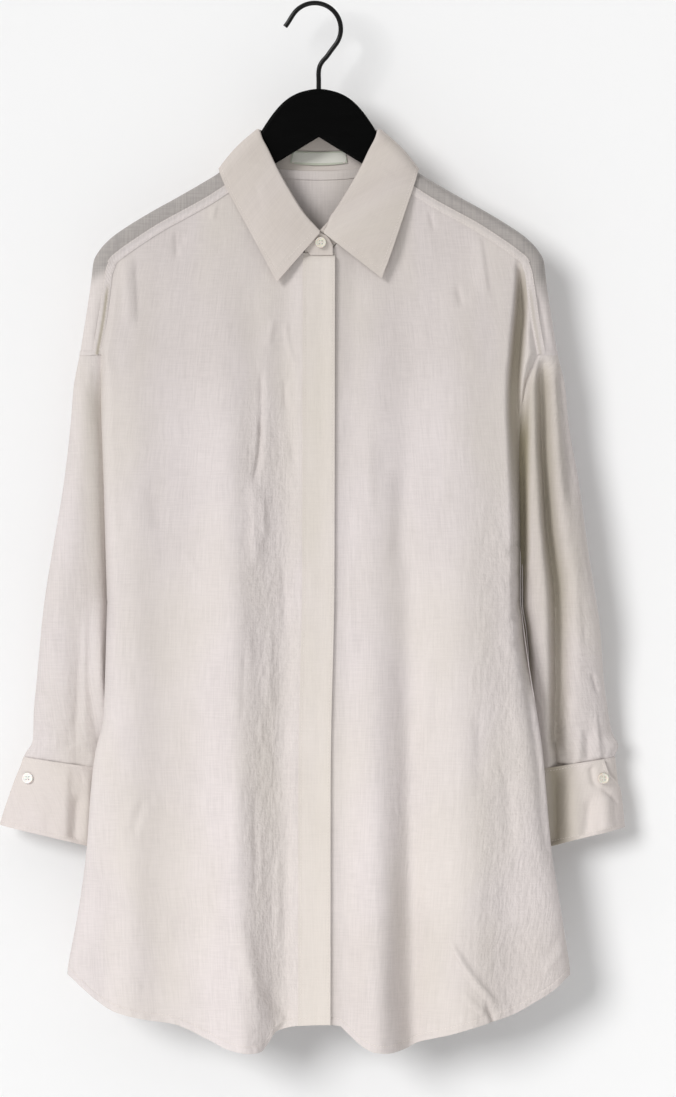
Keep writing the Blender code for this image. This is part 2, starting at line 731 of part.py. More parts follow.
def cloth(name, points, wall, keep=None):
    """A cloth panel through a grid of points; keep(row, column) leaves out the cells that are open."""
    points = np.array(points, float)
    rows, columns = points.shape[:2]
    shape = bmesh.new()
    corners = {}

    def corner(r, c):
        if (r, c) not in corners:
            x, y, z = points[r, c]
            corners[r, c] = shape.verts.new(((x + CENTRE_X) * MM, y * MM, z * MM))
        return corners[r, c]

    for r in range(rows - 1):
        for c in range(columns - 1):
            if keep is None or keep(r, c):
                shape.faces.new((corner(r, c), corner(r, c + 1), corner(r + 1, c + 1), corner(r + 1, c)))
    mesh = bpy.data.meshes.new(name)
    shape.to_mesh(mesh)
    shape.free()
    mesh.shade_smooth()
    piece = finish(name, mesh, LINEN)
    wall_maker = piece.modifiers.new("Wall", "SOLIDIFY")
    wall_maker.thickness = wall * MM
    wall_maker.offset = 0
    wall_maker.use_rim = True
    wall_maker.use_quality_normals = True
    return piece


def button(name, at, normal):
    """A round button with a raised rim, its back against the cloth."""
    shape = bmesh.new()
    profile = ((0.0, 0.0), (0.86, 0.0), (1.0, 0.3), (1.0, 0.75), (0.86, 1.0), (0.62, 1.0), (0.52, 0.72), (0.0, 0.72))
    verts = [shape.verts.new((r * BUTTON_RADIUS * MM, 0, h * BUTTON_HEIGHT * MM)) for r, h in profile]
    edges = [shape.edges.new(pair) for pair in zip(verts, verts[1:])]
    bmesh.ops.spin(shape, geom=verts + edges, axis=(0, 0, 1), cent=(0, 0, 0), steps=18, angle=2 * math.pi)
    bmesh.ops.remove_doubles(shape, verts=shape.verts, dist=1e-6)
    bmesh.ops.recalc_face_normals(shape, faces=shape.faces)
    mesh = bpy.data.meshes.new(name)
    shape.to_mesh(mesh)
    shape.free()
    piece = finish(name, mesh, HORN, 0.3)
    turn = Vector((0, 0, 1)).rotation_difference(Vector(normal)).to_matrix().to_4x4()
    piece.matrix_world = Matrix.Translation(Vector((at[0] + CENTRE_X, at[1], at[2])) * MM) @ turn
    return piece


def surface_frame(point, step_u, step_v):
    """A point with the normal of the surface there, from two steps along it."""
    here, beside, below = (np.array(p, float) for p in (point, step_u, step_v))
    normal = np.cross(beside - here, below - here)
    return here, normal / np.linalg.norm(normal)


def collar_button():
    """It sits on the stand's right end, just under the roll line."""
    x, z = COLLAR_BUTTON
    share = (z - NECK_FRONT_Z) / (roll_point(0)[2] - NECK_FRONT_Z)
    y = stand_point(RIGHT, 0.0, share, lap_shift(0.0) + DOUBLED / 2 + 0.45)[1]
    return button("button_collar", (x, y, z), (0, -1, 0.04))


def cuff_button(side, name):
    x, z = CUFF_BUTTON[side]
    rows = CUFF[side]
    share = (z - rows["z"][0] + 4) / (rows["z"][1] - rows["z"][0])
    outer, edge = (blend(rows[n][0], rows[n][1], share) for n in ("outer", "edge"))
    degrees = -math.degrees(math.acos(1 - (outer - x) / ((outer - edge) / 2)))
    here, normal = surface_frame(
        cuff_point(side, degrees, share, CUFF_LAYER),
        cuff_point(side, degrees - 2, share, CUFF_LAYER),
        cuff_point(side, degrees, share + 0.05, CUFF_LAYER),
    )
    if normal[1] > 0:
        normal = -normal
    here = here + normal * (DOUBLED / 2 + 0.4)
    return button(name, (side * here[0], here[1], z), (side * normal[0], normal[1], normal[2]))


def neck_label():
    """A blank woven label, made from the points of the stand's back and moved in from them."""
    inward = -(DOUBLED / 2 + LABEL_WALL / 2 + 0.35)
    stations = [(RIGHT, at) for at in LABEL_STATIONS] + [(LEFT, at) for at in LABEL_STATIONS[-2::-1]]
    points = [[stand_point(side, at, share, inward) for side, at in stations] for share in LABEL_SHARES]
    return cloth("neck_label", points, LABEL_WALL)


def hanger_body():
    """A flat plate cut to the hanger's outline, with rounded rims and a hole for the wire."""
    half = list(zip(HANGER["x"], HANGER["z"]))
    outline = half + [(0, HANGER_APEX_Z)] + [(-x, z) for x, z in half[:0:-1]]
    shape = bmesh.new()
    rim = [shape.verts.new(((x + CENTRE_X) * MM, -HANGER_THICK / 2 * MM, z * MM)) for x, z in outline]
    face = shape.faces.new(rim)
    pushed = bmesh.ops.extrude_face_region(shape, geom=[face])
    moved = [v for v in pushed["geom"] if isinstance(v, bmesh.types.BMVert)]
    bmesh.ops.translate(shape, verts=moved, vec=(0, HANGER_THICK * MM, 0))
    bmesh.ops.recalc_face_normals(shape, faces=shape.faces)
    rims = [e for e in shape.edges if abs(e.verts[0].co.y - e.verts[1].co.y) < 1e-7]
    bmesh.ops.bevel(shape, geom=rims, offset=HANGER_EDGE * MM, segments=2, profile=0.5, affect="EDGES")
    mesh = bpy.data.meshes.new("hanger_body")
    shape.to_mesh(mesh)
    shape.free()
    body = finish("hanger_body", mesh, BLACK, 0.5)

    bore = (WIRE_RADIUS + 0.35) * MM
    drill = bmesh.new()
    bmesh.ops.create_cone(drill, cap_ends=True, segments=16, radius1=bore, radius2=bore, depth=0.04)
    drill_mesh = bpy.data.meshes.new("wire_hole")
    drill.to_mesh(drill_mesh)
    drill.free()
    cutter = bpy.data.objects.new("wire_hole", drill_mesh)
    bpy.context.scene.collection.objects.link(cutter)
    cutter.location = (CENTRE_X * MM, 0, (HANGER["z"][0] - WIRE_SOCKET - 0.5) * MM + 0.02)
    cutter.hide_render = True
    cutter.display_type = "WIRE"
    cut = body.modifiers.new("Hole", "BOOLEAN")
    cut.operation = "DIFFERENCE"
    cut.solver = "EXACT"
    cut.object = cutter
    return body


def hanger_hook():
    """The wire: an open hook over the rail and a stem into the hanger."""
    centre_z = WIRE_RADIUS - HOOK_RADIUS
    route = [(-28.5, -20.5), (-24.2, -14.0)]
    for i in range(27):
        angle = math.radians(blend(142, -40, i / 26))
        route.append((HOOK_RADIUS * math.cos(angle), centre_z + HOOK_RADIUS * math.sin(angle)))
    route += [(15.3, -43.9), (11.4, -49.3), (7.4, -53.8), (4.9, -58.2), (CENTRE_X, -63.5)]
    route.append((CENTRE_X, HANGER["z"][0] - WIRE_SOCKET))
    curve = bpy.data.curves.new("hanger_hook", "CURVE")
    curve.dimensions = "3D"
    spline = curve.splines.new("POLY")
    spline.points.add(len(route) - 1)
    for point, (x, z) in zip(spline.points, route):
        point.co = (x * MM, 0, z * MM, 1)
    curve.bevel_depth = WIRE_RADIUS * MM
    curve.bevel_resolution = 2
    curve.use_fill_caps = True
    return finish("hanger_hook", curve, BLACK, 0.35, 0.8)


def build():
    clear_scene()
    for side, word in ((RIGHT, "right"), (LEFT, "left")):
        cloth("front_" + word, front_points(side), CLOTH)
        cloth("sleeve_" + word, sleeve_points(side), CLOTH)
        cloth("cuff_" + word, cuff_points(side), DOUBLED)
        cuff_button(side, "button_cuff_" + word)
    cloth("back", back_points(), CLOTH)
    cloth("yoke", yoke_points(), CLOTH, yoke_cell)
    cloth("placket", placket_points(), DOUBLED)
    cloth("collar_stand", stand_points(collar_stations((-1.0, -0.75, -0.4))), DOUBLED)
    cloth("collar", leaf_points(collar_stations(())), DOUBLED)
    collar_button()
    neck_label()
    hanger_body()
    hanger_hook()


build()
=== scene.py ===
import math

import bpy
import numpy as np
from mathutils import Matrix, Vector


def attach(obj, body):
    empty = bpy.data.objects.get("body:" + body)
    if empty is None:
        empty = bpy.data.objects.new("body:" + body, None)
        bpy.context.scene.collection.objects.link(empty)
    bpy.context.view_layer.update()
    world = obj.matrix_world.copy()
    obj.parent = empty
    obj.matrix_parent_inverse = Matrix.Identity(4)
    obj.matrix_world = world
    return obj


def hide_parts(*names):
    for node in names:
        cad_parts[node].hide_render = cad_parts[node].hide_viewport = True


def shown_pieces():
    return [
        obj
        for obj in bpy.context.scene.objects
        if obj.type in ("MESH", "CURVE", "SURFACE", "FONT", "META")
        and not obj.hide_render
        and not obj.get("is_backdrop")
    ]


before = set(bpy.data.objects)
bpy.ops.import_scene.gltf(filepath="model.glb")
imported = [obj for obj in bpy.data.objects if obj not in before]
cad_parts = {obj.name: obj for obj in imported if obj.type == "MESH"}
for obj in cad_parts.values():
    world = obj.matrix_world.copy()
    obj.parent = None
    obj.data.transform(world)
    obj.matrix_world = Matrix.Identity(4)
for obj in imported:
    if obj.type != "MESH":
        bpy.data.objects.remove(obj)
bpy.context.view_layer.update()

mm = 0.001
right, left = -1, 1      # the wearer's sides
front, back = -1, 1
middleX = 3.8            # the middle of the blouse, from the hook; every x below is counted outward from it


# reading the sizes

def table(columns, *rows):
    return dict(zip(columns.split(), np.array(rows, float).T))


def along(where, knots, values):
    # a smooth curve through the knots that never overshoots them
    order = np.argsort(knots)
    x, y = np.asarray(knots, float)[order], np.asarray(values, float)[order]
    step = np.diff(x)
    rise = np.diff(y) / step
    slope = np.concatenate(([rise[0]], np.zeros(len(x) - 2), [rise[-1]]))
    for i in range(1, len(x) - 1):
        if rise[i - 1] * rise[i] > 0:
            before, after = 2 * step[i] + step[i - 1], step[i] + 2 * step[i - 1]
            slope[i] = (before + after) / (before / rise[i - 1] + after / rise[i])
    where = np.clip(where, x[0], x[-1])
    i = np.clip(np.searchsorted(x, where, side="right") - 1, 0, len(x) - 2)
    t = (where - x[i]) / step[i]
    start = y[i] * (1 + 2 * t) + slope[i] * step[i] * t
    end = y[i + 1] * (3 - 2 * t) - slope[i + 1] * step[i] * (1 - t)
    return start * (1 - t) ** 2 + end * t * t


def read(rows, column, where, key="z"):
    return along(where, rows[key], rows[column])


def ramp(value, low, high):
    t = np.clip((value - low) / (high - low), 0, 1)
    return t * t * (3 - 2 * t)


def blend(a, b, t):
    return a + (b - a) * t


# sizes of the blouse, in millimetres

blouse = dict(
    seam=0.25,               # each panel stops this far short of its seam line
    lift=1.8,                # from a panel to the doubled piece that lies on it
    cloth=0.8, doubled=1.3,  # walls of single and doubled linen
    capZ=-335.5, underarmZ=-572.0, hemSideZ=-921.0,
    cuffSeamZ=-722.0, cuffSlant=13.0,
    neckX=76.0, neckBackY=11.0, neckBackZ=-160.0, neckFrontZ=-241.0,
    placketWidth=29.8, underLap=12.5, hemMm=7.0,
    armGap=1.8, capTurn=25,  # beside the armhole seam, and how far down the panel's edge takes to turn in
    roll={"top": 9.0, front: 12.0, back: 14.0},  # the width over which a panel turns into its edge
)
seam, lift, capZ, underarmZ = blouse["seam"], blouse["lift"], blouse["capZ"], blouse["underarmZ"]

shoulder = table(
    "ridgeX ridgeZ frontX frontZ backX backZ round half",
    (76.0, -143.8, 66.0, -165.5, 76.0, -246.0, 7, 8.2),
    (95.2, -160.7, 87.5, -180.5, 95.0, -246.4, 7, 8.2),
    (113.2, -171.9, 105.0, -191.8, 113.0, -246.8, 7, 8.2),
    (136.2, -185.1, 127.0, -204.0, 136.0, -247.3, 7, 8.2),
    (157.7, -197.0, 149.0, -216.0, 157.0, -247.8, 7, 8.2),
    (179.6, -210.1, 170.0, -229.5, 177.0, -248.3, 7, 8.2),
    (198.8, -223.4, 187.0, -241.5, 190.0, -248.6, 8, 8.2),
    (209.9, -235.1, 195.0, -248.5, 196.0, -250.0, 10, 8.3),
    (215.7, -246.0, 199.0, -258.0, 199.5, -262.0, 12, 8.4),
    (218.2, -266.2, 201.0, -273.0, 202.0, -278.0, 14, 8.6),
    (222.8, -297.2, 204.5, -300.0, 205.5, -304.0, 17, 9.0),
    (228.9, -335.5, 211.0, -335.5, 211.0, -335.5, 17.9, 9.6),
)
yokeCorner = 7           # the row where the yoke's seams turn down beside the hanger's end

arm = {
    right: table(
        "z outer edge middle half turn",
        (-335.5, 228.9, 211.0, 0.0, 9.6, 90), (-365.0, 234.6, 211.0, 0.5, 11.5, 128),
        (-400.0, 237.6, 210.0, 2.0, 13.5, 146), (-455.0, 244.0, 208.0, 4.5, 16.0, 156),
        (-530.0, 256.4, 206.0, 7.0, 17.0, 168), (-572.0, 263.2, 205.0, 8.5, 16.5, 179.0),
        (-600.0, 266.5, 206.0, 12.5, 17.0, 179.2), (-640.0, 270.4, 205.5, 20.0, 18.0, 179.2),
        (-684.0, 274.7, 200.0, 28.0, 18.0, 179.2), (-706.0, 275.2, 196.0, 30.5, 17.5, 179.2),
        (-722.0, 284.0, 194.0, 31.0, 16.5, 179.2), (-736.0, 287.5, 194.0, 31.0, 16.5, 179.2),
    ),
    left: table(
        "z outer edge middle half turn",
        (-335.5, 228.9, 211.0, 0.0, 9.6, 90), (-365.0, 236.2, 200.0, 1.5, 13.0, 128),
        (-400.0, 239.6, 196.8, 3.0, 15.5, 146), (-455.0, 249.4, 196.0, 5.5, 17.5, 156),
        (-530.0, 259.6, 195.8, 8.0, 18.0, 168), (-572.0, 266.5, 195.6, 9.0, 17.0, 179.0),
        (-600.0, 270.4, 199.5, 13.5, 17.5, 179.2), (-640.0, 273.4, 202.5, 22.0, 19.0, 179.2),
        (-684.0, 279.0, 202.5, 29.5, 19.0, 179.2), (-702.0, 283.0, 202.0, 32.0, 18.0, 179.2),
        (-712.0, 288.0, 202.5, 32.0, 17.5, 179.2), (-722.0, 285.0, 203.0, 32.0, 16.5, 179.2),
        (-736.0, 286.0, 203.0, 32.0, 16.5, 179.2),
    ),
}
sleeveFolds = {
    (right, front): table(
        "z x width depth", (-440, 224, 9, 0), (-620, 233, 9, 2), (-700, 233, 8, 2.5), (-736, 233, 7, 2)),
    (left, front): table(
        "z x width depth skew", (-336, 213, 4, 0, 2.2), (-352, 213, 4, 10, 2.2), (-379, 213.5, 4, 15, 2.2),
        (-427, 214.5, 4, 18, 2.2), (-494, 218.5, 4.5, 21, 2.2), (-571, 227, 5, 21, 2.2), (-648, 228, 4.8, 21, 2.2),
        (-705, 227.5, 4.5, 17, 2.2), (-736, 230, 4.5, 8, 2.2)),
    (right, back): table(
        "z x width depth", (-400, 224, 10, 0), (-560, 235, 12, 5), (-650, 240, 12, 6), (-736, 240, 9, 3)),
    (left, back): table(
        "z x width depth", (-400, 226, 10, 0), (-560, 236, 12, 5), (-650, 242, 12, 6), (-736, 242, 9, 3)),
}
# the valley along the armhole; where its depth is below 0, the cloth swells out over the sleeve
valleys = {
    right: table("z depth", (-300, 0), (-350, 3), (-380, 2), (-420, -2), (-480, -4), (-560, -5), (-600, -9),
                 (-650, -14), (-722, -12)),
    left: table("z depth", (-330, 0), (-400, 7), (-470, 9), (-600, 9), (-680, 0)),
    "bodyWidth": {right: 9.0, left: 11.0}, "sleeveWidth": {right: 18.0, left: 5.5},
}
cuff = {
    right: table("z slant outer edge middle half", (-722, 13, 284.0, 194, 31, 16.5), (-787.5, 26, 305.5, 198, 31, 20)),
    left: table("z slant outer edge middle half", (-722, 13, 285.0, 203, 32, 16.5), (-790.0, 22, 292.5, 206, 32, 20)),
}
sideSeam = {
    right: table(
        "z edge depth frontRoll backRoll",
        (-572, 203.2, 8.5, 12, 14), (-600, 203.6, 1.0, 14, 24), (-640, 204.4, -6.0, 16, 34),
        (-686, 206.5, -9.0, 18, 40), (-718, 214.0, -10.0, 20, 44), (-753, 218.1, -10.0, 22, 48),
        (-808, 222.0, -10.0, 24, 52), (-859, 228.5, -10.0, 26, 54), (-921, 240.0, -9.0, 26, 54),
    ),
    left: table(
        "z edge depth frontRoll backRoll",
        (-572, 193.8, 9.0, 12, 14), (-600, 197.0, 1.0, 16, 24), (-640, 202.5, -6.0, 20, 34),
        (-686, 210.0, -9.0, 24, 40), (-718, 214.5, -10.0, 26, 44), (-753, 217.6, -10.0, 28, 48),
        (-808, 222.5, -10.0, 30, 52), (-859, 230.5, -10.0, 32, 54), (-921, 240.3, -9.0, 32, 54),
    ),
}
depth = table(
    "z front back",
    (-150, 8.2, 8.2), (-210, 8.6, 8.6), (-260, 10.0, 9.2), (-350, 15.0, 11.0),
    (-450, 18.0, 13.0), (-600, 21.0, 15.0), (-800, 24.0, 17.0), (-1005, 26.0, 19.0),
)
foldLevels = (-1000, -600, -400, -240)
longFolds = {
    front: table(
        "highX lowX width hem middle chest top",
        (-176, -180, 22, 8, 6, 3, 0), (-88, -72, 27, 25, 16, 10, 1), (-49, -49, 10, 0, 1, 2, 0),
        (50, 56, 24, 23, 9, 4, 0), (83, 88, 12, -11, -3, -1, 0), (130, 140, 36, 18, 12, 8, 0.5)),
    back: table(
        "highX lowX width hem middle chest top",
        (-128, -138, 32, 12, 8, 4, 0), (-42, -44, 27, 15, 9, 4, 0.5),
        (48, 44, 28, 16, 9, 4, 0.5), (124, 136, 32, 12, 8, 4, 0)),
}
# the deep groove in the left front, beside the armhole
leftGroove = table(
    "z x depth", (-243, 196.5, 0), (-257, 196.5, 9), (-283, 195, 15), (-321, 191.5, 17), (-379, 187.5, 17),
    (-427, 189, 13), (-480, 191, 7), (-540, 193, 0))
grooveWidth = 6.3
frontTop = table(
    "x z", (-20, -241), (8, -241), (22.5, -222.1), (37, -203.2), (51.5, -184.4), (66, -165.5), (87.5, -180.5),
    (105, -191.8), (127, -204), (149, -216), (170, -229.5), (187, -241.5), (195, -248.5))
hem = {
    front: table(
        "x z", (-240.3, -929), (-227, -941), (-212, -954), (-196, -964), (-166, -972), (-140, -976),
        (-105, -991), (-82, -1001), (-66, -1003.5), (-54, -1001.5), (-48, -995), (-44.5, -987), (-35, -981),
        (-20, -977.8), (9, -977), (20, -978), (27, -984), (44, -998), (54, -1002.5), (65, -1003.5), (82, -1000),
        (97, -993), (125, -986), (157, -976.5), (187, -966.5), (206, -956), (224, -945), (240.3, -930)),
    back: table("x z", (0, -973), (60, -977), (100, -978), (140, -970), (190, -953), (224, -941), (240.3, -929)),
}
placket = table("z x depth", (-240, 0.7, 3.5), (-550, 0.2, 3), (-740, -3.4, 3), (-1010, -3.6, 4))
placketFlat = (13.0, 36.0)  # beside the placket's middle, the folds set in between these
collar = table(
    "at neck rollX rollY rollZ",
    (-1.0, -13.6, -13.2, -14.0, -231.0), (-0.5, -8.0, -8.5, -14.4, -223.0), (0.0, 2.0, -1.0, -15.0, -218.5),
    (0.3, 8.0, 3.5, -15.0, -214.0), (1.0, 22.0, 13.5, -14.6, -202.5), (2.0, 39.0, 30.5, -12.6, -176.0),
    (3.0, 56.0, 42.5, -10.4, -154.5), (3.6, 66.0, 49.5, -8.9, -140.0), (4.3, 66.0, 55.8, -8.0, -127.5),
    (4.7, 66.0, 57.2, -4.6, -122.0), (5.0, 76.0, 57.4, 0.0, -121.2), (5.3, 76.0, 57.0, 5.0, -121.2),
    (5.7, 76.0, 53.0, 9.6, -121.5), (6.4, 55.0, 38.0, 13.6, -122.5), (8.0, 0.0, 0.0, 16.5, -124.0),
)
leafBack = ((4.3, 0, -10.5, 0), (4.65, 94.8, -8.4, -160.6), (5.0, 95.8, -0.5, -157.0), (5.3, 95.0, 8.4, -159.5),
            (5.7, 92.0, 10.6, -165.0), (6.2, 84.0, 11.2, -169.0), (7.0, 52.0, 13.6, -172.0), (8.0, 0.0, 14.6, -172.5))
leafEdge = {
    right: table(
        "at x y z", (0.0, 40.0, -16.6, -266.0), (1.0, 56.5, -16.0, -235.0), (2.0, 71.8, -12.8, -206.5),
        (3.0, 83.0, -11.6, -186.0), (4.0, 90.7, -10.8, -171.5), (4.3, 92.8, -10.5, -166.5), *leafBack[1:]),
    left: table(
        "at x y z", (0.0, 60.4, -15.8, -262.5), (1.0, 69.5, -15.2, -238.0), (2.0, 78.0, -12.8, -213.0),
        (3.0, 85.5, -11.6, -190.5), (4.0, 91.5, -10.8, -172.5), (4.3, 93.2, -10.5, -167.0), *leafBack[1:]),
}
leafEnd = {right: -0.8, left: 5.2}


# the surfaces that the pieces share with the solids

def placketX(z):
    return read(placket, "x", z)


def foldedDepth(end, x, z):
    folds = longFolds[end]
    out = np.zeros(np.broadcast(x, z).shape)
    down = np.clip((foldLevels[-1] - z) / (foldLevels[-1] - foldLevels[0]), 0, 1)
    for i in range(len(folds["width"])):
        middle = blend(folds["highX"][i], folds["lowX"][i], down)
        heights = [folds[level][i] for level in ("hem", "middle", "chest", "top")]
        out = out + along(z, foldLevels, heights) * np.exp(-((x - middle) / folds["width"][i]) ** 2)
    if end == front:
        out = blend(read(placket, "depth", z), out, ramp(np.abs(x - placketX(z)), *placketFlat))
    return out + read(depth, "front" if end == front else "back", z)


def armSection(side, t, z):
    # t is -1 at the front armhole, 0 at the outer edge and 1 at the back armhole
    rows = arm[side]
    turn = np.radians(read(rows, "turn", z))
    outer = read(rows, "outer", z)
    width = (outer - read(rows, "edge", z)) / (1 - np.cos(turn))
    x = outer - width * (1 - np.cos(t * turn))
    y = read(rows, "middle", z) + read(rows, "half", z) * np.sin(t * turn)
    fade = np.sin(np.minimum(1.0, (1 - np.abs(t)) * 4) * math.pi / 2)
    for end in (front, back):
        folds = sleeveFolds[side, end]
        off = (x - read(folds, "x", z)) / read(folds, "width", z)
        sunk = read(folds, "depth", z) * np.exp(-(np.where(off > 0, off / folds.get("skew", [1])[0], off)) ** 2)
        y = y - np.where((t < 0) == (end == front), end * fade * sunk, 0)
    inner = x - read(rows, "edge", z)
    return x, y + np.where(t < 0, armholeValley(side, z, inner, valleys["sleeveWidth"][side]), 0)


def armholeValley(side, z, distance, width):
    # the cloth sinks to the armhole seam from both sides, so that one side of the valley is in shade
    near = np.clip(1 - distance / width, 0, 1)
    return read(valleys[side], "depth", z) * near * near * (3 - 2 * near)


def panelEdge(side, end, z):
    name = "front" if end == front else "back"
    seamX, seamZ = shoulder[name + "X"][yokeCorner:], shoulder[name + "Z"][yokeCorner:]
    turned = ramp(z, capZ, capZ - blouse["capTurn"])
    armX, armY = armSection(side, float(end), z)
    rows = sideSeam[side]
    high, low = z >= capZ, z < underarmZ
    x = np.where(high, along(z, seamZ, seamX), armX - blend(2 * seam, blouse["armGap"], turned))
    y = np.where(high, end * along(z, seamZ, shoulder["half"][yokeCorner:]), armY)
    roll = np.where(high, blouse["roll"]["top"], blend(blouse["roll"]["top"], blouse["roll"][end], turned))
    x = np.where(low, read(rows, "edge", z), x)
    y = np.where(low, read(rows, "depth", z), y)
    roll = np.where(low, read(rows, name + "Roll", z), roll)
    return x, y, np.where(high, 0.0, np.where(low, 1.0, turned)), roll


def bodyY(side, end, x, z):
    edgeX, edgeY, turned, roll = panelEdge(side, end, z)
    out = foldedDepth(end, side * x, z)
    if end == front and side == left:
        off = (x - read(leftGroove, "x", z)) / grooveWidth
        out = out - read(leftGroove, "depth", z) * np.exp(-off ** 4)
    q = np.clip((x - edgeX + roll) / roll, 0, 1)
    kept = blend(1 - q * q * (3 - 2 * q), np.sqrt(1 - q * q), turned)
    y = edgeY + (end * out - edgeY) * kept
    if end == front:
        y = y + np.maximum(0, armholeValley(side, z, edgeX - x, valleys["bodyWidth"][side]))
    return y


def hemZ(end, x):
    return along(x if end == front else np.abs(x), hem[end]["x"], hem[end]["z"])


def topZ(end, x):
    if end == front:
        return np.interp(x, frontTop["x"], frontTop["z"])
    rows = slice(0, yokeCorner + 1)
    return np.interp(x, shoulder["backX"][rows], shoulder["backZ"][rows])


def panelPoints(side, end, inner, columns, rows):
    # columns from 0 to 1 cross the face, and from 1 to 2 turn into the outer edge; rows run from 0 to 1
    def place(z):
        edgeX, _, _, roll = panelEdge(side, end, z)
        start, face = inner(z), edgeX - roll
        return np.where(columns <= 1, blend(start, face, columns),
                        face + roll * np.sin(np.clip(columns - 1, 0, 1) * math.pi / 2))
    cornerZ = shoulder["frontZ" if end == front else "backZ"][yokeCorner]
    topEdge = topZ(end, place(np.full_like(columns, cornerZ))) - seam
    bottom = hemZ(end, side * place(np.full_like(columns, blouse["hemSideZ"])))
    z = blend(topEdge, bottom, rows)
    x = place(z)
    y = bodyY(side, end, x, z)
    last = columns > 1.999
    y = np.where(last & (z < underarmZ), y + end * seam, y)
    return np.where(last & (z > capZ), x - seam, x), y, z


def shoulderAt(station):
    return {name: along(station, range(len(values)), values) for name, values in shoulder.items()}


def yokePoint(side, station, place):
    # place is -2 at the front seam, 0 on the shoulder line and 2 at the back seam
    station, place = np.broadcast_arrays(np.asarray(station, float), np.asarray(place, float))
    rows = shoulderAt(station)
    inFront = place < 0
    seamX = np.where(inFront, rows["frontX"], rows["backX"]) + seam
    seamZ = np.where(inFront, rows["frontZ"], rows["backZ"]) + seam
    runX, runZ = seamX - rows["ridgeX"], seamZ - rows["ridgeZ"]
    length = np.hypot(runX, runZ)
    near = np.minimum(rows["round"], 0.6 * length)
    step = np.abs(place)
    gone = np.where(step <= 1, near * (1 - np.cos(np.minimum(step, 1) * math.pi / 2)), blend(near, length, step - 1))
    atSeam = np.where(inFront, np.abs(bodyY(side, front, seamX, seamZ)), np.abs(bodyY(side, back, seamX, seamZ)))
    over = np.maximum(0.0, 1 - gone / np.minimum(rows["round"], length))
    y = blend(rows["half"], atSeam, gone / length) * np.sqrt(1 - over * over)
    return rows["ridgeX"] + runX * gone / length, np.where(inFront, -y, y), rows["ridgeZ"] + runZ * gone / length


def yokeNeckPoint(share, place):
    x = blouse["neckX"] * share
    neckZ = blend(blouse["neckBackZ"], yokePoint(left, 0, 1)[2], share * share)
    neckY = blend(blouse["neckBackY"], shoulder["half"][0], share * share)
    seamZ = shoulder["backZ"][0] + seam
    return x, blend(neckY, foldedDepth(back, x, np.full_like(x, seamZ)), place - 1), blend(neckZ, seamZ, place - 1)


def neckPoint(side, at):
    x = read(collar, "neck", at, "at")
    z = topZ(front, x)
    inFront = np.stack((x, bodyY(side, front, x, z), z), -1)
    onShoulder = np.stack(yokePoint(side, 0, blend(-2, 1, np.clip((at - 3.6) / 2.0, 0, 1))), -1)
    behind = np.stack(yokeNeckPoint(np.clip((8 - at) / 2.4, 0, 1), 1.0), -1)
    at = at[..., None]
    return np.where(at <= 3.6, inFront, np.where(at <= 5.6, onShoulder, behind))


def rollPoint(at):
    return np.stack([read(collar, "roll" + axis, at, "at") for axis in "XYZ"], -1)


def unit(v):
    return v / np.maximum(np.linalg.norm(v, axis=-1, keepdims=True), 1e-9)


def standFrame(side, at):
    roll = rollPoint(at)
    rise = unit(roll - neckPoint(side, at))
    ahead = rollPoint(np.minimum(at + 0.1, 8.0)) - rollPoint(np.maximum(at - 0.1, -1.0))
    out = unit(np.where(at[..., None] > 0.5, np.cross(ahead, rise), np.array((0.0, -1.0, 0.0))))
    return roll, rise, out


def lapShift(at):
    return 1.4 * (1 - ramp(at, 1.0, 2.2))


def standPoint(side, at, share, outward=0.0):
    neck, (roll, rise, out) = neckPoint(side, at), standFrame(side, at)
    low = neck + rise * 0.8
    if side == right:
        low = low - np.array((0, lift / 2, 0)) * (1 - ramp(at, 1.0, 2.2))[..., None]
    point = blend(low, roll, share[..., None]) + out * (outward + 0.8 * np.sin(share * math.pi))[..., None]
    return point * np.array((side, 1, 1))


def cuffPoint(side, degrees, share, out):
    rows = {name: blend(values[0], values[1], share) for name, values in cuff[side].items()}
    angle = np.radians(degrees)
    wide = (rows["outer"] - rows["edge"]) / 2
    x = rows["outer"] - wide * (1 - np.cos(angle)) + out * np.cos(angle)
    y = rows["middle"] + (rows["half"] + out) * np.sin(angle)
    z = rows["z"] - rows["slant"] * (1 - np.cos(angle)) / 2 - np.where(share == 0, seam, 0)
    return x, y, z


# creases and crinkle

def creaseHeight(x, z, rows):
    # the sum of soft ridges (height above 0) and troughs, each along a line that may bow to one side;
    # "sharp" narrows the side on the right hand of one who goes along the line from its first end
    out = np.zeros(np.broadcast(x, z).shape)
    for x1, z1, x2, z2, width, height, *shape in rows:
        sharp, bow = shape or (1, 0)
        dx, dz = x2 - x1, z2 - z1
        length = math.hypot(dx, dz)
        s = ((x - x1) * dx + (z - z1) * dz) / length ** 2
        d = ((z - z1) * dx - (x - x1) * dz) / length - bow * np.sin(np.clip(s, 0, 1) * math.pi)
        wide = width * np.where(d > 0, 1.0, sharp)
        fade = ramp(s, 0.0, 0.25) * (1 - ramp(s, 0.72, 1.0))
        out += height * fade * np.exp(-(d / wide) ** 2)
    return out


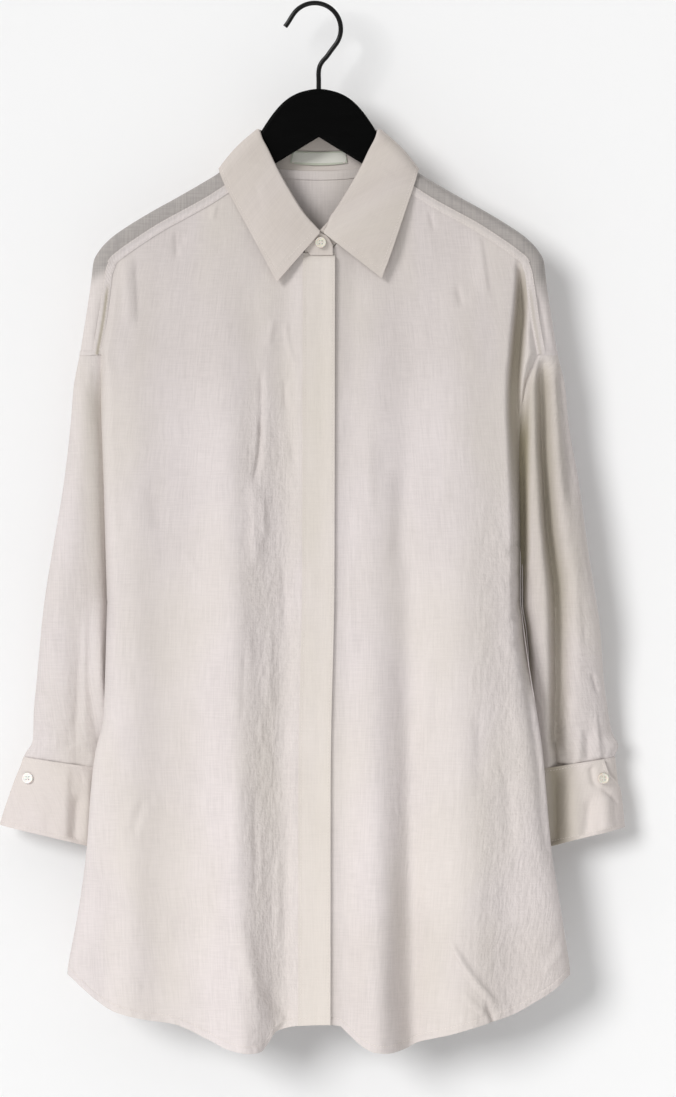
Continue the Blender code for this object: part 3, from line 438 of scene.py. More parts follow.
def roughness(u, v, seed):
    # smooth noise from -1 to 1 over a grid of unit cells, the same on every run
    i, j = np.floor(u).astype(np.int64), np.floor(v).astype(np.int64)
    fu, fv = u - i, v - j
    fu, fv = fu * fu * (3 - 2 * fu), fv * fv * (3 - 2 * fv)

    def corner(a, b):
        h = (a * 374761393 + b * 668265263 + seed * 974634777) & 0xFFFFFFFF
        h = ((h ^ (h >> 13)) * 1274126177) & 0xFFFFFFFF
        return ((h ^ (h >> 16)) & 0xFFFF) / 32767.5 - 1
    low = blend(corner(i, j), corner(i + 1, j), fu)
    high = blend(corner(i, j + 1), corner(i + 1, j + 1), fu)
    return blend(low, high, fv)


def crinkle(u, v, seed):
    # crushed linen: long soft ripples down the cloth with short ones across them
    out = 0.55 * roughness(u / 17, v / 75, seed) + 0.30 * roughness(u / 8.5, v / 38, seed + 1)
    return out + 0.20 * roughness(u / 5.5, v / 17, seed + 2) + 0.16 * roughness(u / 26, v / 11, seed + 3)


# finishes

def linear(hexColour):
    # sRGB hex to the linear colour that a shader takes
    parts = [int(hexColour[i:i + 2], 16) / 255 for i in (0, 2, 4)]
    return [c / 12.92 if c <= 0.04045 else ((c + 0.055) / 1.055) ** 2.4 for c in parts] + [1.0]


def addNode(tree, kind, settings, inputs):
    # settings are the node's own options; an input takes a value or another node's output
    node = tree.nodes.new(kind)
    for name, value in settings.items():
        setattr(node, name, value)
    for name, value in inputs.items():
        if isinstance(value, bpy.types.NodeSocket):
            tree.links.new(value, node.inputs[name])
        else:
            node.inputs[name].default_value = value
    return node.outputs


def maths(tree, kind, *values):
    return addNode(tree, "ShaderNodeMath", {"operation": kind}, dict(enumerate(values)))[0]


def mixColour(tree, share, first, second):
    return addNode(tree, "ShaderNodeMix", {"data_type": "RGBA"}, {0: share, 6: first, 7: second})[2]


def span(tree, value, **limits):
    # the value stretched from one span of numbers to another, and held inside it
    names = dict(fromMin="From Min", fromMax="From Max", toMin="To Min", toMax="To Max")
    inputs = {names[key]: limit for key, limit in limits.items()}
    return addNode(tree, "ShaderNodeMapRange", {}, {"Value": value, **inputs})[0]


def startMaterial(name, sockets):
    material = bpy.data.materials.new(name)
    material.use_nodes = True
    shader = material.node_tree.nodes["Principled BSDF"]
    for socket, value in sockets.items():
        shader.inputs[socket].default_value = value
    return material, material.node_tree, shader


linen = dict(
    single="CEC6C4", doubled="CFC7C0", collar="C6BDB6", cuff="CEC5C1",
    pale="E2DADA", pales=0.55, creamy="CDC6BA", creams=0.32,    # wide soft clouds in the colour, and how strong
    overBlack="A9A39F", overBlackDark="9A9592",                 # where the black hanger shows through
    # painted shade, mixed into deep folds and other shaded places
    aged="968D78",                                              # the shade in deep folds
    dark=0.88,                                                  # the thin places beside the slubs
    slubMm=(1.3, 30.0),         # thick places in the yarn, which is itself too fine to draw
    paleMm=(45.0, 90.0), creamyMm=(110.0, 260.0), rippleMm=((4.0, 13.0), (9.0, 6.0)),
    ripple=0.45, crushedRipple=2.4, yarnRelief=0.35, bump=0.35, bumpMm=1.2,
    rough=0.88, ior=1.53, specular=0.22, sheen=0.10, sheenRough=0.55,
)


def grain(tree, place, acrossMm, alongMm):
    # noise drawn out along one direction of the cloth
    sized = addNode(tree, "ShaderNodeMapping", {}, {"Vector": place, "Scale": (1 / acrossMm / mm, 1 / alongMm / mm, 1)})
    return addNode(tree, "ShaderNodeTexNoise", {}, {
        "Vector": sized["Vector"], "Detail": 2.0, "Roughness": 0.55, "Scale": 1.0})["Fac"]


def linenMaterial(name, colour, contrast=1.0, bump=1.0, overHanger=False):
    # washed plain-weave linen: matt, uneven yarn running both ways, small crushed ripples
    material, tree, shader = startMaterial(name, {
        "Roughness": linen["rough"], "IOR": linen["ior"], "Specular IOR Level": linen["specular"],
        "Sheen Weight": linen["sheen"], "Sheen Roughness": linen["sheenRough"]})
    place = addNode(tree, "ShaderNodeUVMap", {"uv_map": "weave"}, {})["UV"]
    marks = {mark: addNode(tree, "ShaderNodeAttribute", {"attribute_name": mark}, {})["Fac"] for mark in clothMarks}
    wide, long = linen["slubMm"]
    warp, weft = grain(tree, place, wide, long), grain(tree, place, long * 0.7, wide)
    yarn = maths(tree, "ADD", maths(tree, "MULTIPLY", warp, 0.58), maths(tree, "MULTIPLY", weft, 0.42))
    base = linear(colour)
    dark = [c * (1 - (1 - linen["dark"]) * contrast) for c in base[:3]] + [1.0]
    result = mixColour(tree, span(tree, yarn, fromMin=0.36, fromMax=0.60), dark, base)
    cloud = maths(tree, "SUBTRACT", grain(tree, place, *linen["paleMm"]), 0.35)
    result = mixColour(tree, maths(tree, "MULTIPLY", cloud, linen["pales"]), result, linear(linen["pale"]))
    patch = span(tree, grain(tree, place, *linen["creamyMm"]), fromMin=0.42, fromMax=0.62, toMax=linen["creams"])
    result = mixColour(tree, patch, result, linear(linen["creamy"]))
    if overHanger:
        # the black hanger shows grey through the single cloth, more strongly where the yarn is thin
        thin = span(tree, yarn, fromMin=0.40, fromMax=0.60)
        grey = mixColour(tree, thin, linear(linen["overBlackDark"]), linear(linen["overBlack"]))
        result = mixColour(tree, marks["overHanger"], result, grey)
    # painted shade: the olive dark of deep folds and shaded places, by each point's mark
    result = mixColour(tree, marks["aged"], result, linear(linen["aged"]))
    tree.links.new(result, shader.inputs["Base Color"])
    # crushed places ripple more
    ripple = maths(tree, "ADD", *(grain(tree, place, *size) for size in linen["rippleMm"]))
    strength = maths(tree, "MULTIPLY_ADD", marks["crushed"], linen["crushedRipple"], linen["ripple"])
    height = maths(tree, "MULTIPLY_ADD", ripple, strength, maths(tree, "MULTIPLY", yarn, linen["yarnRelief"]))
    raised = addNode(tree, "ShaderNodeBump", {}, {
        "Height": height, "Strength": linen["bump"] * bump, "Distance": linen["bumpMm"] * mm})
    tree.links.new(raised["Normal"], shader.inputs["Normal"])
    return material


def mottledMaterial(name, low, high, sockets, noise, stretch=(1, 1, 1), rough=None, bump=None):
    # two near colours mixed by noise in the piece's own space; rough is the span of its roughness,
    # and bump the strength and the depth in millimetres of the same noise as a relief
    material, tree, shader = startMaterial(name, sockets)
    place = addNode(tree, "ShaderNodeTexCoord", {}, {})["Object"]
    place = addNode(tree, "ShaderNodeMapping", {}, {"Vector": place, "Scale": stretch})["Vector"]
    tone = addNode(tree, "ShaderNodeTexNoise", {}, {"Vector": place, **noise})["Fac"]
    result = {"Base Color": mixColour(tree, tone, linear(low), linear(high))}
    if rough:
        result["Roughness"] = span(tree, tone, toMin=rough[0], toMax=rough[1])
    if bump:
        result["Normal"] = addNode(tree, "ShaderNodeBump", {}, {
            "Height": tone, "Strength": bump[0], "Distance": bump[1] * mm})["Normal"]
    for socket, source in result.items():
        tree.links.new(source, shader.inputs[socket])
    return material


# the marks: the hanger seen through the cloth, painted shade, and how crushed the cloth is
clothMarks = ("overHanger", "aged", "crushed")      # what each sheet's points carry for its finish
singleLinen = linenMaterial("washed linen, single", linen["single"])
yokeLinen = linenMaterial("washed linen over the hanger", linen["single"], overHanger=True)
doubleLinen = linenMaterial("washed linen, doubled", linen["doubled"], contrast=0.6, bump=0.6)
cuffLinen = linenMaterial("washed linen, cuffs", linen["cuff"], contrast=0.6, bump=0.8)
collarLinen = linenMaterial("washed linen, interlined collar", linen["collar"], contrast=0.6, bump=0.6)
# spun cotton-wrapped sewing thread: matt, a shade paler than the cloth
thread = mottledMaterial("spun sewing thread", "D2CAC3", "DFD7D1", {"Roughness": 0.8, "Specular IOR Level": 0.25},
                         {"Scale": 900.0})


# sheets of cloth

def wallRound(points, wall, outward, keep=None, plumb=True, **marks):
    # a closed thin wall round a grid of points in millimetres; outward is the sign of the face that shows
    across, down = np.gradient(points, axis=1), np.gradient(points, axis=0)
    normal = unit(np.cross(across, down)) * outward
    half = np.broadcast_to(wall, points.shape[:2])[..., None] / 2
    outer, inner = points + normal * half, points - normal * half
    rows, columns = points.shape[:2]
    index = np.arange(rows * columns).reshape(rows, columns)
    kept = np.ones((rows - 1, columns - 1), bool) if keep is None else keep
    a, b, c, d = (g[kept] for g in (index[:-1, :-1], index[:-1, 1:], index[1:, 1:], index[1:, :-1]))
    quads = np.stack((a, b, c, d) if outward > 0 else (a, d, c, b), 1)
    edges = np.concatenate([quads[:, [i, (i + 1) % 4]] for i in range(4)])
    total = rows * columns
    rim = edges[~np.isin(edges[:, 0] * total + edges[:, 1], edges[:, 1] * total + edges[:, 0])]
    rims = np.stack((rim[:, 1], rim[:, 0], rim[:, 0] + total, rim[:, 1] + total), 1)
    faces = np.concatenate((quads, quads[:, ::-1] + total, rims))
    used = np.unique(faces)
    renamed = np.zeros(2 * total, int)
    renamed[used] = np.arange(len(used))
    acrossRun = np.cumsum(np.linalg.norm(np.diff(points, axis=1, prepend=points[:, :1]), axis=2), 1)
    downRun = np.cumsum(np.linalg.norm(np.diff(points, axis=0, prepend=points[:1]), axis=2), 0)
    # plumb cloth hangs with its warp straight down, whatever way its edges run
    weave = np.stack((acrossRun, -points[..., 2] if plumb else downRun), -1) * mm
    return dict(
        outer=outer, normal=normal, faces=renamed[faces],
        spots=np.concatenate((outer.reshape(-1, 3), inner.reshape(-1, 3)))[used],
        weave=np.tile(weave.reshape(-1, 2), (2, 1))[used],
        marks={name: np.tile(np.broadcast_to(mark, (rows, columns)).reshape(-1), 2)[used]
               for name, mark in marks.items()})


def addObject(name, data):
    thing = bpy.data.objects.new(name, data)
    bpy.context.scene.collection.objects.link(thing)
    return thing


def settle(piece, node=None):
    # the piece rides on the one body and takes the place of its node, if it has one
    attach(piece, "root")
    if node:
        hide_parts(node)
    return piece


def meshOf(name, spots, faces, material):
    # spots are in millimetres from the middle of the blouse
    mesh = bpy.data.meshes.new(name)
    mesh.from_pydata(((np.asarray(spots) + (middleX, 0, 0)) * mm).tolist(), [], faces)
    mesh.materials.append(material)
    return mesh


def planarWeave(mesh):
    spots = np.empty(3 * len(mesh.vertices))
    mesh.vertices.foreach_get("co", spots)
    return spots.reshape(-1, 3)[:, (0, 2)]


def makeSheet(name, walls, material):
    starts = np.cumsum([0] + [len(wall["spots"]) for wall in walls])
    faces = np.concatenate([wall["faces"] + start for wall, start in zip(walls, starts)])
    mesh = meshOf(name, np.concatenate([wall["spots"] for wall in walls]), faces.tolist(), material)
    mesh.shade_smooth()
    weave = np.concatenate([wall["weave"] for wall in walls]) if name != "yoke" else planarWeave(mesh)
    mesh.uv_layers.new(name="weave").data.foreach_set("uv", weave[faces.reshape(-1)].reshape(-1))
    for mark in clothMarks:
        values = np.concatenate([wall["marks"].get(mark, np.zeros(len(wall["spots"]))) for wall in walls])
        mesh.attributes.new(mark, "FLOAT", "POINT").data.foreach_set("value", values.astype(np.float32))
    mesh.set_sharp_from_angle(angle=math.radians(55))
    area = sum(face.area for face in mesh.polygons) / 2
    print("made", name, len(faces), "faces, cloth", round(area, 4), "square metres")
    return settle(addObject(name + "_cloth", mesh), name)


def displaced(points, outward, height):
    across, down = np.gradient(points, axis=1), np.gradient(points, axis=0)
    return points + unit(np.cross(across, down)) * outward * height[..., None]


# stitches

stitch = dict(pitch=3.0, long=2.3, wide=0.55, high=0.28)


def sample(grid, row, column):
    row = np.clip(row, 0, grid.shape[0] - 1.001)
    column = np.clip(column, 0, grid.shape[1] - 1.001)
    i, j = row.astype(int), column.astype(int)
    fi, fj = (row - i)[:, None], (column - j)[:, None]
    top = grid[i, j] * (1 - fj) + grid[i, j + 1] * fj
    return top * (1 - fi) + (grid[i + 1, j] * (1 - fj) + grid[i + 1, j + 1] * fj) * fi


def stitchLine(wall, rows, columns, pitch=None):
    # small raised stitches along a line that is given in the grid's rows and columns
    rows, columns = np.broadcast_arrays(np.asarray(rows, float), np.asarray(columns, float))
    path, normal = sample(wall["outer"], rows, columns), sample(wall["normal"], rows, columns)
    run = np.concatenate(([0], np.cumsum(np.linalg.norm(np.diff(path, axis=0), axis=1))))
    pitch = pitch or stitch["pitch"]
    middle = (np.arange(int(run[-1] / pitch)) + 0.5) * pitch

    def at(values, s):
        return np.stack([np.interp(s, run, values[:, k]) for k in range(3)], -1)
    a, b = at(path, middle - stitch["long"] / 2), at(path, middle + stitch["long"] / 2)
    up = unit(at(normal, middle))
    ahead = unit(b - a)
    aside = np.cross(ahead, up) * stitch["wide"] / 2
    up = up * stitch["high"]
    low, high = blend(a, b, 0.22), blend(a, b, 0.78)
    spots = np.stack((a - up * 0.3, low + aside, low + up, low - aside, high + aside, high + up, high - aside,
                      b - up * 0.3), 1)
    loop = ((0, 1, 2, 2), (0, 2, 3, 3), (0, 3, 1, 1), (1, 4, 5, 2), (2, 5, 6, 3), (3, 6, 4, 1), (7, 5, 4, 4),
            (7, 6, 5, 5), (7, 4, 6, 6))
    faces = [[8 * n + k for k in dict.fromkeys(face)] for n in range(len(spots)) for face in loop]
    return spots.reshape(-1, 3), faces


def makeStitches(name, lines):
    spots, faces, start = [], [], 0
    for some, loops in lines:
        spots.append(some)
        faces += [[k + start for k in loop] for loop in loops]
        start += len(some)
    print("made", name, len(faces) // 9, "stitches")
    return settle(addObject(name, meshOf(name, np.concatenate(spots), faces, thread)))


# fronts and back

frontSizes = dict(faceColumns=136, turnColumns=16, rows=264,
                  flat={right: (0.225, 0.79), left: (0.255, 0.79)})
frontCreases = (
    # x1 z1 x2 z2 width height, then sharp and bow where they aren't 1 and 0
    (-185, -240, -182, -312, 5, 1.5), (-176, -312, -180, -236, 9, 1.2, 0.25, 0),
    (-99, -190, -102, -207, 2, 1.0), (-137, -214, -136, -246, 3, -1.2),
    (-131, -218, -131, -233, 2.5, -0.9), (-43, -300, -49, -329, 3, 0.9),
    (-31, -299, -21, -349, 2.5, 1.0, 1, -3), (-55, -346, -55, -422, 2.5, -1.2),
    (-33, -357, -31, -393, 2.5, -1.0), (-56, -393, -63, -461, 3.5, -2.2, 0.5, 2),
    (-54, -467, -52, -518, 4, 1.4), (-62, -451, -60, -547, 9, 2.4, 0.6, 0),
    (-26, -415, -23, -444, 3, -1.1), (-162, -454, -147, -513, 10, -1.4),
    (-129, -523, -115, -547, 4, 0.6), (-78, -724, -84, -868, 9, 1.6, 0.7, 0),
    (-84, -854, -55, -999, 9, 2.0, 0.6, 4), (-166, -758, -180, -799, 5, -1.1),
    (-186, -929, -167, -943, 3, 0.6), (-52, -936, -26, -978, 7, -1.8),
    (-61, -748, -61, -868, 3, -0.8, 1, 1), (-45, -590, -49, -686, 4, 0.8),
    (-34, -532, -31, -609, 3.5, -0.8), (-37, -801, -41, -907, 4, 0.9),
    (-70, -609, -73, -696, 3, -0.7), (-53, -1004, -47, -988, 2.5, -1.6),
    (-43, -986, -32, -975, 2.5, -1.4),
    (106, -196, 111, -218, 2.5, -1.2), (163, -286, 153, -212, 8, 1.1, 0.22, 0),
    (132, -268, 138, -291, 3, -1.1), (209, -297, 223, -339, 3, 1.6),
    (198, -570, 229, -850, 9, -4.5),
    (207, -308, 219, -342, 2.5, -1.4), (81, -436, 76, -550, 8, -1.5),
    (88, -816, 72, -989, 11, -1.4), (192, -511, 179, -534, 3, -0.9),
    (193, -538, 180, -563, 3, -0.9), (195, -569, 182, -596, 3, -0.8),
    (197, -598, 185, -619, 3, -0.8), (123, -893, 174, -963, 3.6, 3.0, 0.45, -4),
    (136, -947, 161, -969, 3, 1.4, 0.6, 0), (160, -956, 170, -982, 3, -2.4, 0.8, 0),
    (174, -886, 201, -872, 3, 0.7), (214, -930, 240, -898, 3, 0.8),
    (217, -914, 233, -888, 3, -0.6), (30, -532, 32, -628, 4, 0.8),
    (47, -408, 50, -494, 5, 0.7), (107, -609, 103, -724, 6, 0.8),
    (151, -667, 157, -763, 6, -0.9), (179, -724, 185, -820, 6, -1.0),
)


# crushed most beside the placket on the wearer's right and down the wearer's left side
frontCrushedAt = table(
    "x width power fromZ toZ strength", (-44, 30, 4, -330, -440, 1), (190, 40, 4, -400, -540, 0.8),
    (84, 18, 2, -600, -800, 0.35))


def frontCrushed(x, z):
    total = 0
    for middle, width, power, fromZ, toZ, strength in zip(*frontCrushedAt.values()):
        total = total + strength * np.exp(-((x - middle) / width) ** power) * ramp(-z, -fromZ, -toZ)
    return np.clip(total, 0, 1)


def frontHeight(x, z):
    crushed = frontCrushed(x, z)
    amount = 0.20 + 0.55 * crushed + 0.10 * ramp(-z, 600, 900)
    lean = 0.45 * ramp(x, 110, 170)
    fine = roughness((x + lean * z) / 4.2, z / 11, 14) + 0.7 * roughness((x - 0.5 * z) / 5, z / 9, 15)
    ripples = amount * crinkle(x + lean * z, z, 11) + (0.03 + 0.17 * crushed) * fine
    return 1.25 * creaseHeight(x, z, frontCreases) + ripples


def panelGrid(sizes):
    columns = np.concatenate((np.linspace(0, 1, sizes["faceColumns"]),
                              1 + np.arange(1, sizes["turnColumns"] + 1) / sizes["turnColumns"]))
    rows = np.concatenate((np.linspace(0, 0.983, sizes["rows"]), np.linspace(0.983, 1, 18)[1:]))
    return np.meshgrid(columns, rows)


def runAbove(points):
    # how far each point lies above the lower edge, along its own column
    return np.linalg.norm(np.diff(points, axis=0, append=points[-1:]), axis=2)[::-1].cumsum(0)[::-1]


def hemBand(points, wall, u):
    # the hem is turned up and sewn: thicker below the stitches, drawn in along them, with small puckers
    below, wide = runAbove(points), blouse["hemMm"]
    pucker = 0.50 * roughness(u / 6, below / 9, 71) * (1 - ramp(below, 7, 16))
    return (np.where(below < wide, wall + 0.5, wall),
            pucker - 0.25 * np.exp(-((below - wide) / 0.9) ** 2), below)


def hemRow(below):
    # the row, column by column, in which the hem is sewn
    rows = np.arange(below.shape[0])
    return np.array([np.interp(-blouse["hemMm"], -below[:, j], rows) for j in range(below.shape[1])])


def makeFront(side, name):
    columns, rows = panelGrid(frontSizes)

    def inner(z):
        half = blouse["placketWidth"] / 2
        return half + 2 * seam - placketX(z) if side == right else placketX(z) - blouse["underLap"]
    x, y, z = panelPoints(side, front, inner, columns, rows)
    if side == right:
        y = y - lift * (1 - ramp(x - inner(z), 0.0, 14.0))
    points = np.stack((side * x, y, z), -1)
    thick, pucker, below = hemBand(points, blouse["cloth"], side * x)
    fade = ramp(2 - columns, 0.0, 0.5) * ramp(rows, 0, 0.012)
    if side == left:
        fade = fade * ramp(x - placketX(z), 15, 24)
    else:
        fade = fade * ramp(x - inner(z), 0, 6)
    height = frontHeight(side * x, z) * fade + pucker
    # painted shade in the armhole valley and a little over the top of the fronts
    shaded = read(valleys[side], "depth", z) / 9 * ramp(columns, 1.35, 1.9) + 0.16 * (1 - ramp(-z, 310, 430))
    if side == left:
        off = (x - read(leftGroove, "x", z)) / grooveWidth
        # painted shade down the deep groove, and darker towards the hem on this side
        shaded = shaded + 1.3 * read(leftGroove, "depth", z) / 17 * np.exp(-off ** 4) + 0.2 * ramp(-z, 850, 910)
    crushed = frontCrushed(side * x, z)
    # crushed places are painted a little darker too
    wall = wallRound(displaced(points, -side, height), thick, -side, aged=np.clip(0.5 * shaded + 0.08 * crushed, 0, 1),
                     crushed=crushed)
    piece = makeSheet(name, [wall], singleLinen)
    across = np.arange(2, points.shape[1] - 1)
    sewn = makeStitches("stitches_" + name, [stitchLine(wall, hemRow(below)[across], across)])


backSizes = dict(faceColumns=74, turnColumns=18, rows=216, flat=(0.46, 0.76))
backCreases = (
    (-150, -262, -140, -330, 7, 1.4), (-60, -262, -64, -350, 8, 1.2), (40, -258, 48, -345, 8, 1.2),
    (150, -262, 138, -335, 7, 1.4), (-178, -560, -120, -640, 5, 1.4, 0.6, 0), (176, -540, 118, -620, 5, 1.4, 0.6, 0),
    (-90, -700, -96, -860, 8, 1.4, 0.7, 3), (84, -640, 92, -820, 8, 1.5, 0.7, -3), (10, -480, 6, -640, 6, 1.0),
)


def makeBack():
    columns, rows = panelGrid(backSizes)
    halves = []
    for side in (right, left):
        x, y, z = panelPoints(side, back, np.zeros_like, columns, rows)
        halves.append(np.stack((side * x, y, z), -1))
    points = np.concatenate((halves[0][:, :0:-1], halves[1]), 1)
    columns = np.concatenate((columns[:, :0:-1], columns), 1)
    rows = np.concatenate((rows[:, 1:], rows), 1)
    x, z = points[..., 0], points[..., 2]
    thick, pucker, below = hemBand(points, blouse["cloth"], x)
    amount = 0.2 + 0.3 * np.exp(-((np.abs(x) - 120) / 50) ** 2) * ramp(-z, 400, 560)
    fade = ramp(2 - columns, 0, 0.5) * ramp(rows, 0, 0.012)
    height = (creaseHeight(x, z, backCreases) + amount * crinkle(x, z, 31)) * fade
    wall = wallRound(displaced(points, 1, height + pucker), thick, 1)
    piece = makeSheet("back", [wall], singleLinen)
    across = np.arange(2, points.shape[1] - 2)
    sewn = makeStitches("stitches_back", [stitchLine(wall, hemRow(below)[across], across)])


makeFront(right, "front_right")
makeFront(left, "front_left")
makeBack()


# yoke, with the seam allowances that are turned up and sewn down on it

yokeCreases = (
    (209, -272, 221, -334, 3, -1.5, 0.6, 0), (216, -290, 224, -330, 2.5, 0.6),
    (-209, -280, -213, -330, 3, -1.2),
)
yokeSizes = dict(stations=89, neckSteps=28, capStripMm=3.2, flat=(0.46, 0.17), area=0.05)
seamStrip = dict(
    spans=((0.0, 7.32, -0.9, 7.7, 1.0), (7.16, 11.0, -1.8, 6.5, 0.6)),  # stations, millimetres across, and swell
    proud=0.82, wall=0.5, ropeMm=6.2, stationMm=21.0,
    rope={right: 0.34, left: 0.12},     # roped and puckered on the wearer's right, flatter on the left
    # painted shade, in the fold where the strip nears the armhole
    shade={right: 0.75, left: 0.35},    # in the fold where it nears the armhole
)
hangerSeen = dict(
    lowerZ=-123.5, slope=0.62,          # the hanger's lower edge, from the middle outwards
    endZ={right: -283, left: -304}, soft={right: 12, left: 42}, softFrom=(185, 210), fadeZ=-258,
)


def yokeFromSeam(side, station, fromSeam):
    # the point of the yoke that lies this far from its front seam, in millimetres
    rows = shoulderAt(station)
    length = np.hypot(rows["frontX"] - rows["ridgeX"], rows["frontZ"] - rows["ridgeZ"])
    near = np.minimum(rows["round"], 0.6 * length)
    x, y, z = yokePoint(side, station, -1 - (length - fromSeam - near) / (length - near))
    return np.stack((side * x, y, z), -1)


def hangerBehind(x, z):
    # where the hanger lies right behind the cloth: above its lower edge, out to its ends
    size, onLeft = hangerSeen, ramp(x, 0, 1)
    lowest = blend(size["endZ"][right], size["endZ"][left], onLeft)
    soft = blend(size["soft"][right], size["soft"][left], onLeft) * ramp(np.abs(x), *size["softFrom"])
    return ramp(z - size["lowerZ"] + size["slope"] * np.abs(x), -2 - soft, 2.5) * ramp(z, lowest, size["fadeZ"])


def seamAllowances(side):
    # turned up and sewn down along the front seam
    walls, lines, size = [], [], seamStrip
    for first, last, lowest, width, swell in size["spans"]:
        s, d = np.meshgrid(np.linspace(first, last, 110), np.linspace(lowest, width, 9))
        spots = yokeFromSeam(side, s, d)
        run = s * size["stationMm"]
        twist = np.sin((run + d * 1.1) / size["ropeMm"] * 2 * math.pi + 1.6 * roughness(run / 17, d / 30, 5))
        edge = np.sin(np.clip((d - lowest) / (width - lowest), 0, 1) * math.pi) ** 0.5
        proud = size["proud"] + (0.25 + twist * size["rope"][side]) * edge * swell
        # painted shade in the fold near the armhole
        paintedFoldShade = np.exp(-((d - 1.5) / 1.6) ** 2) * ramp(s, 8.6, 9.4) * size["shade"][side]
        grey = 0.25 * hangerBehind(spots[..., 0], spots[..., 2]) * ramp(d, 2.5, 5)
        strip = wallRound(displaced(spots, side, proud), size["wall"], side, aged=paintedFoldShade, overHanger=grey)
        walls.append(strip)
        lines += [stitchLine(strip, row, np.linspace(1, 108, 160)) for row in (1.6, 7.2)]
    return walls, lines


def capAllowance(side):
    # the sleeve's seam allowance, turned up at the lower edge
    s, p = np.meshgrid(np.linspace(11.03, 11 - yokeSizes["capStripMm"] / 38, 5), np.linspace(-1.9, 1.95, 60))
    x, y, z = yokePoint(side, np.minimum(s, 11), p)
    spots = np.stack((side * x, y, z - np.maximum(s - 11, 0) * 25), -1)
    return wallRound(displaced(spots, -side, np.full(s.shape, 0.62)), seamStrip["wall"], -side)


def makeYoke():
    stations = np.linspace(0, 11, yokeSizes["stations"])
    places = np.concatenate((np.linspace(-2, -1, 12), np.linspace(-1, 1, 17)[1:], np.linspace(1, 2, 34)[1:]))
    station, place = np.meshgrid(stations, places)
    sides = {}
    for side in (right, left):
        x, y, z = yokePoint(side, station, place)
        sides[side] = np.stack((side * x, y, z), -1)
    steps = yokeSizes["neckSteps"]
    share, low = np.meshgrid(np.arange(1 - steps, steps) / steps, np.maximum(places, 1))
    points = np.concatenate((sides[right][:, ::-1], np.stack(yokeNeckPoint(share, low), -1), sides[left]), 1)
    height = creaseHeight(points[..., 0], points[..., 2], yokeCreases) * ramp(-places, -0.2, 0.4)[:, None]
    points = displaced(points, 1, height)
    first = len(stations) - 1
    cell = np.arange(points.shape[1] - 1)
    keep = ~((cell >= first) & (cell < first + 2 * steps))[None, :] | (places[:-1, None] >= 1)
    x, z = points[..., 0], points[..., 2]
    walls, lines = [wallRound(points, blouse["cloth"], 1, keep, overHanger=hangerBehind(x, z))], []
    for side in (right, left):
        strips, sewn = seamAllowances(side)
        walls += [*strips, capAllowance(side)]
        lines += sewn
    # the neck seam's band, inside
    share, p = np.meshgrid(np.linspace(-0.86, 0.86, 80), np.linspace(0.985, 1.082, 7))
    band = np.stack(yokeNeckPoint(share, p), -1) - (0, 0.95, 0)
    walls.append(wallRound(band, 0.7, 1))
    piece = makeSheet("yoke", walls, yokeLinen)
    sewn = makeStitches("stitches_yoke", lines)


makeYoke()


# sleeves and cuffs

sleeveSizes = dict(around=140, down=190, flat={right: (0.142, 0.40), left: (0.158, 0.40)})
sleeveCreases = {
    right: (
        (-224, -571, -226, -710, 4, 1.3, 0.5, 0), (-230, -610, -234, -715, 1.8, -1.0),
        (-247, -520, -251, -610, 4, 0.6), (-262, -600, -262, -680, 5, -0.8),
        (-242, -690, -240, -716, 2.5, -0.8), (-252, -694, -253, -716, 2.5, 0.8),
        (-268, -690, -276, -716, 3, 1.0), (-226, -340, -224, -372, 3, -0.7),
    ),
    left: (
        (262, -640, 268, -662, 2.5, -1.6, 0.7, 0), (273, -746, 266, -676, 5, 2.2, 0.3, 0),
        (241, -750, 230, -704, 9, 3.2, 0.2, 0), (243, -695, 241, -739, 3, -1.8), (251, -690, 250, -739, 3, 1.8),
        (258, -695, 260, -738, 3, -2.0), (246, -510, 250, -650, 6, 1.0),
        (236, -360, 240, -420, 3.5, 0.9), (229, -352, 232, -390, 2.5, -0.8),
        (252, -560, 256, -620, 3, -0.7), (211, -420, 214, -560, 3, 0.8),
        (284, -696, 290, -716, 4, 1.8), (236, -330, 246, -500, 8, -6.0),
    ),
}


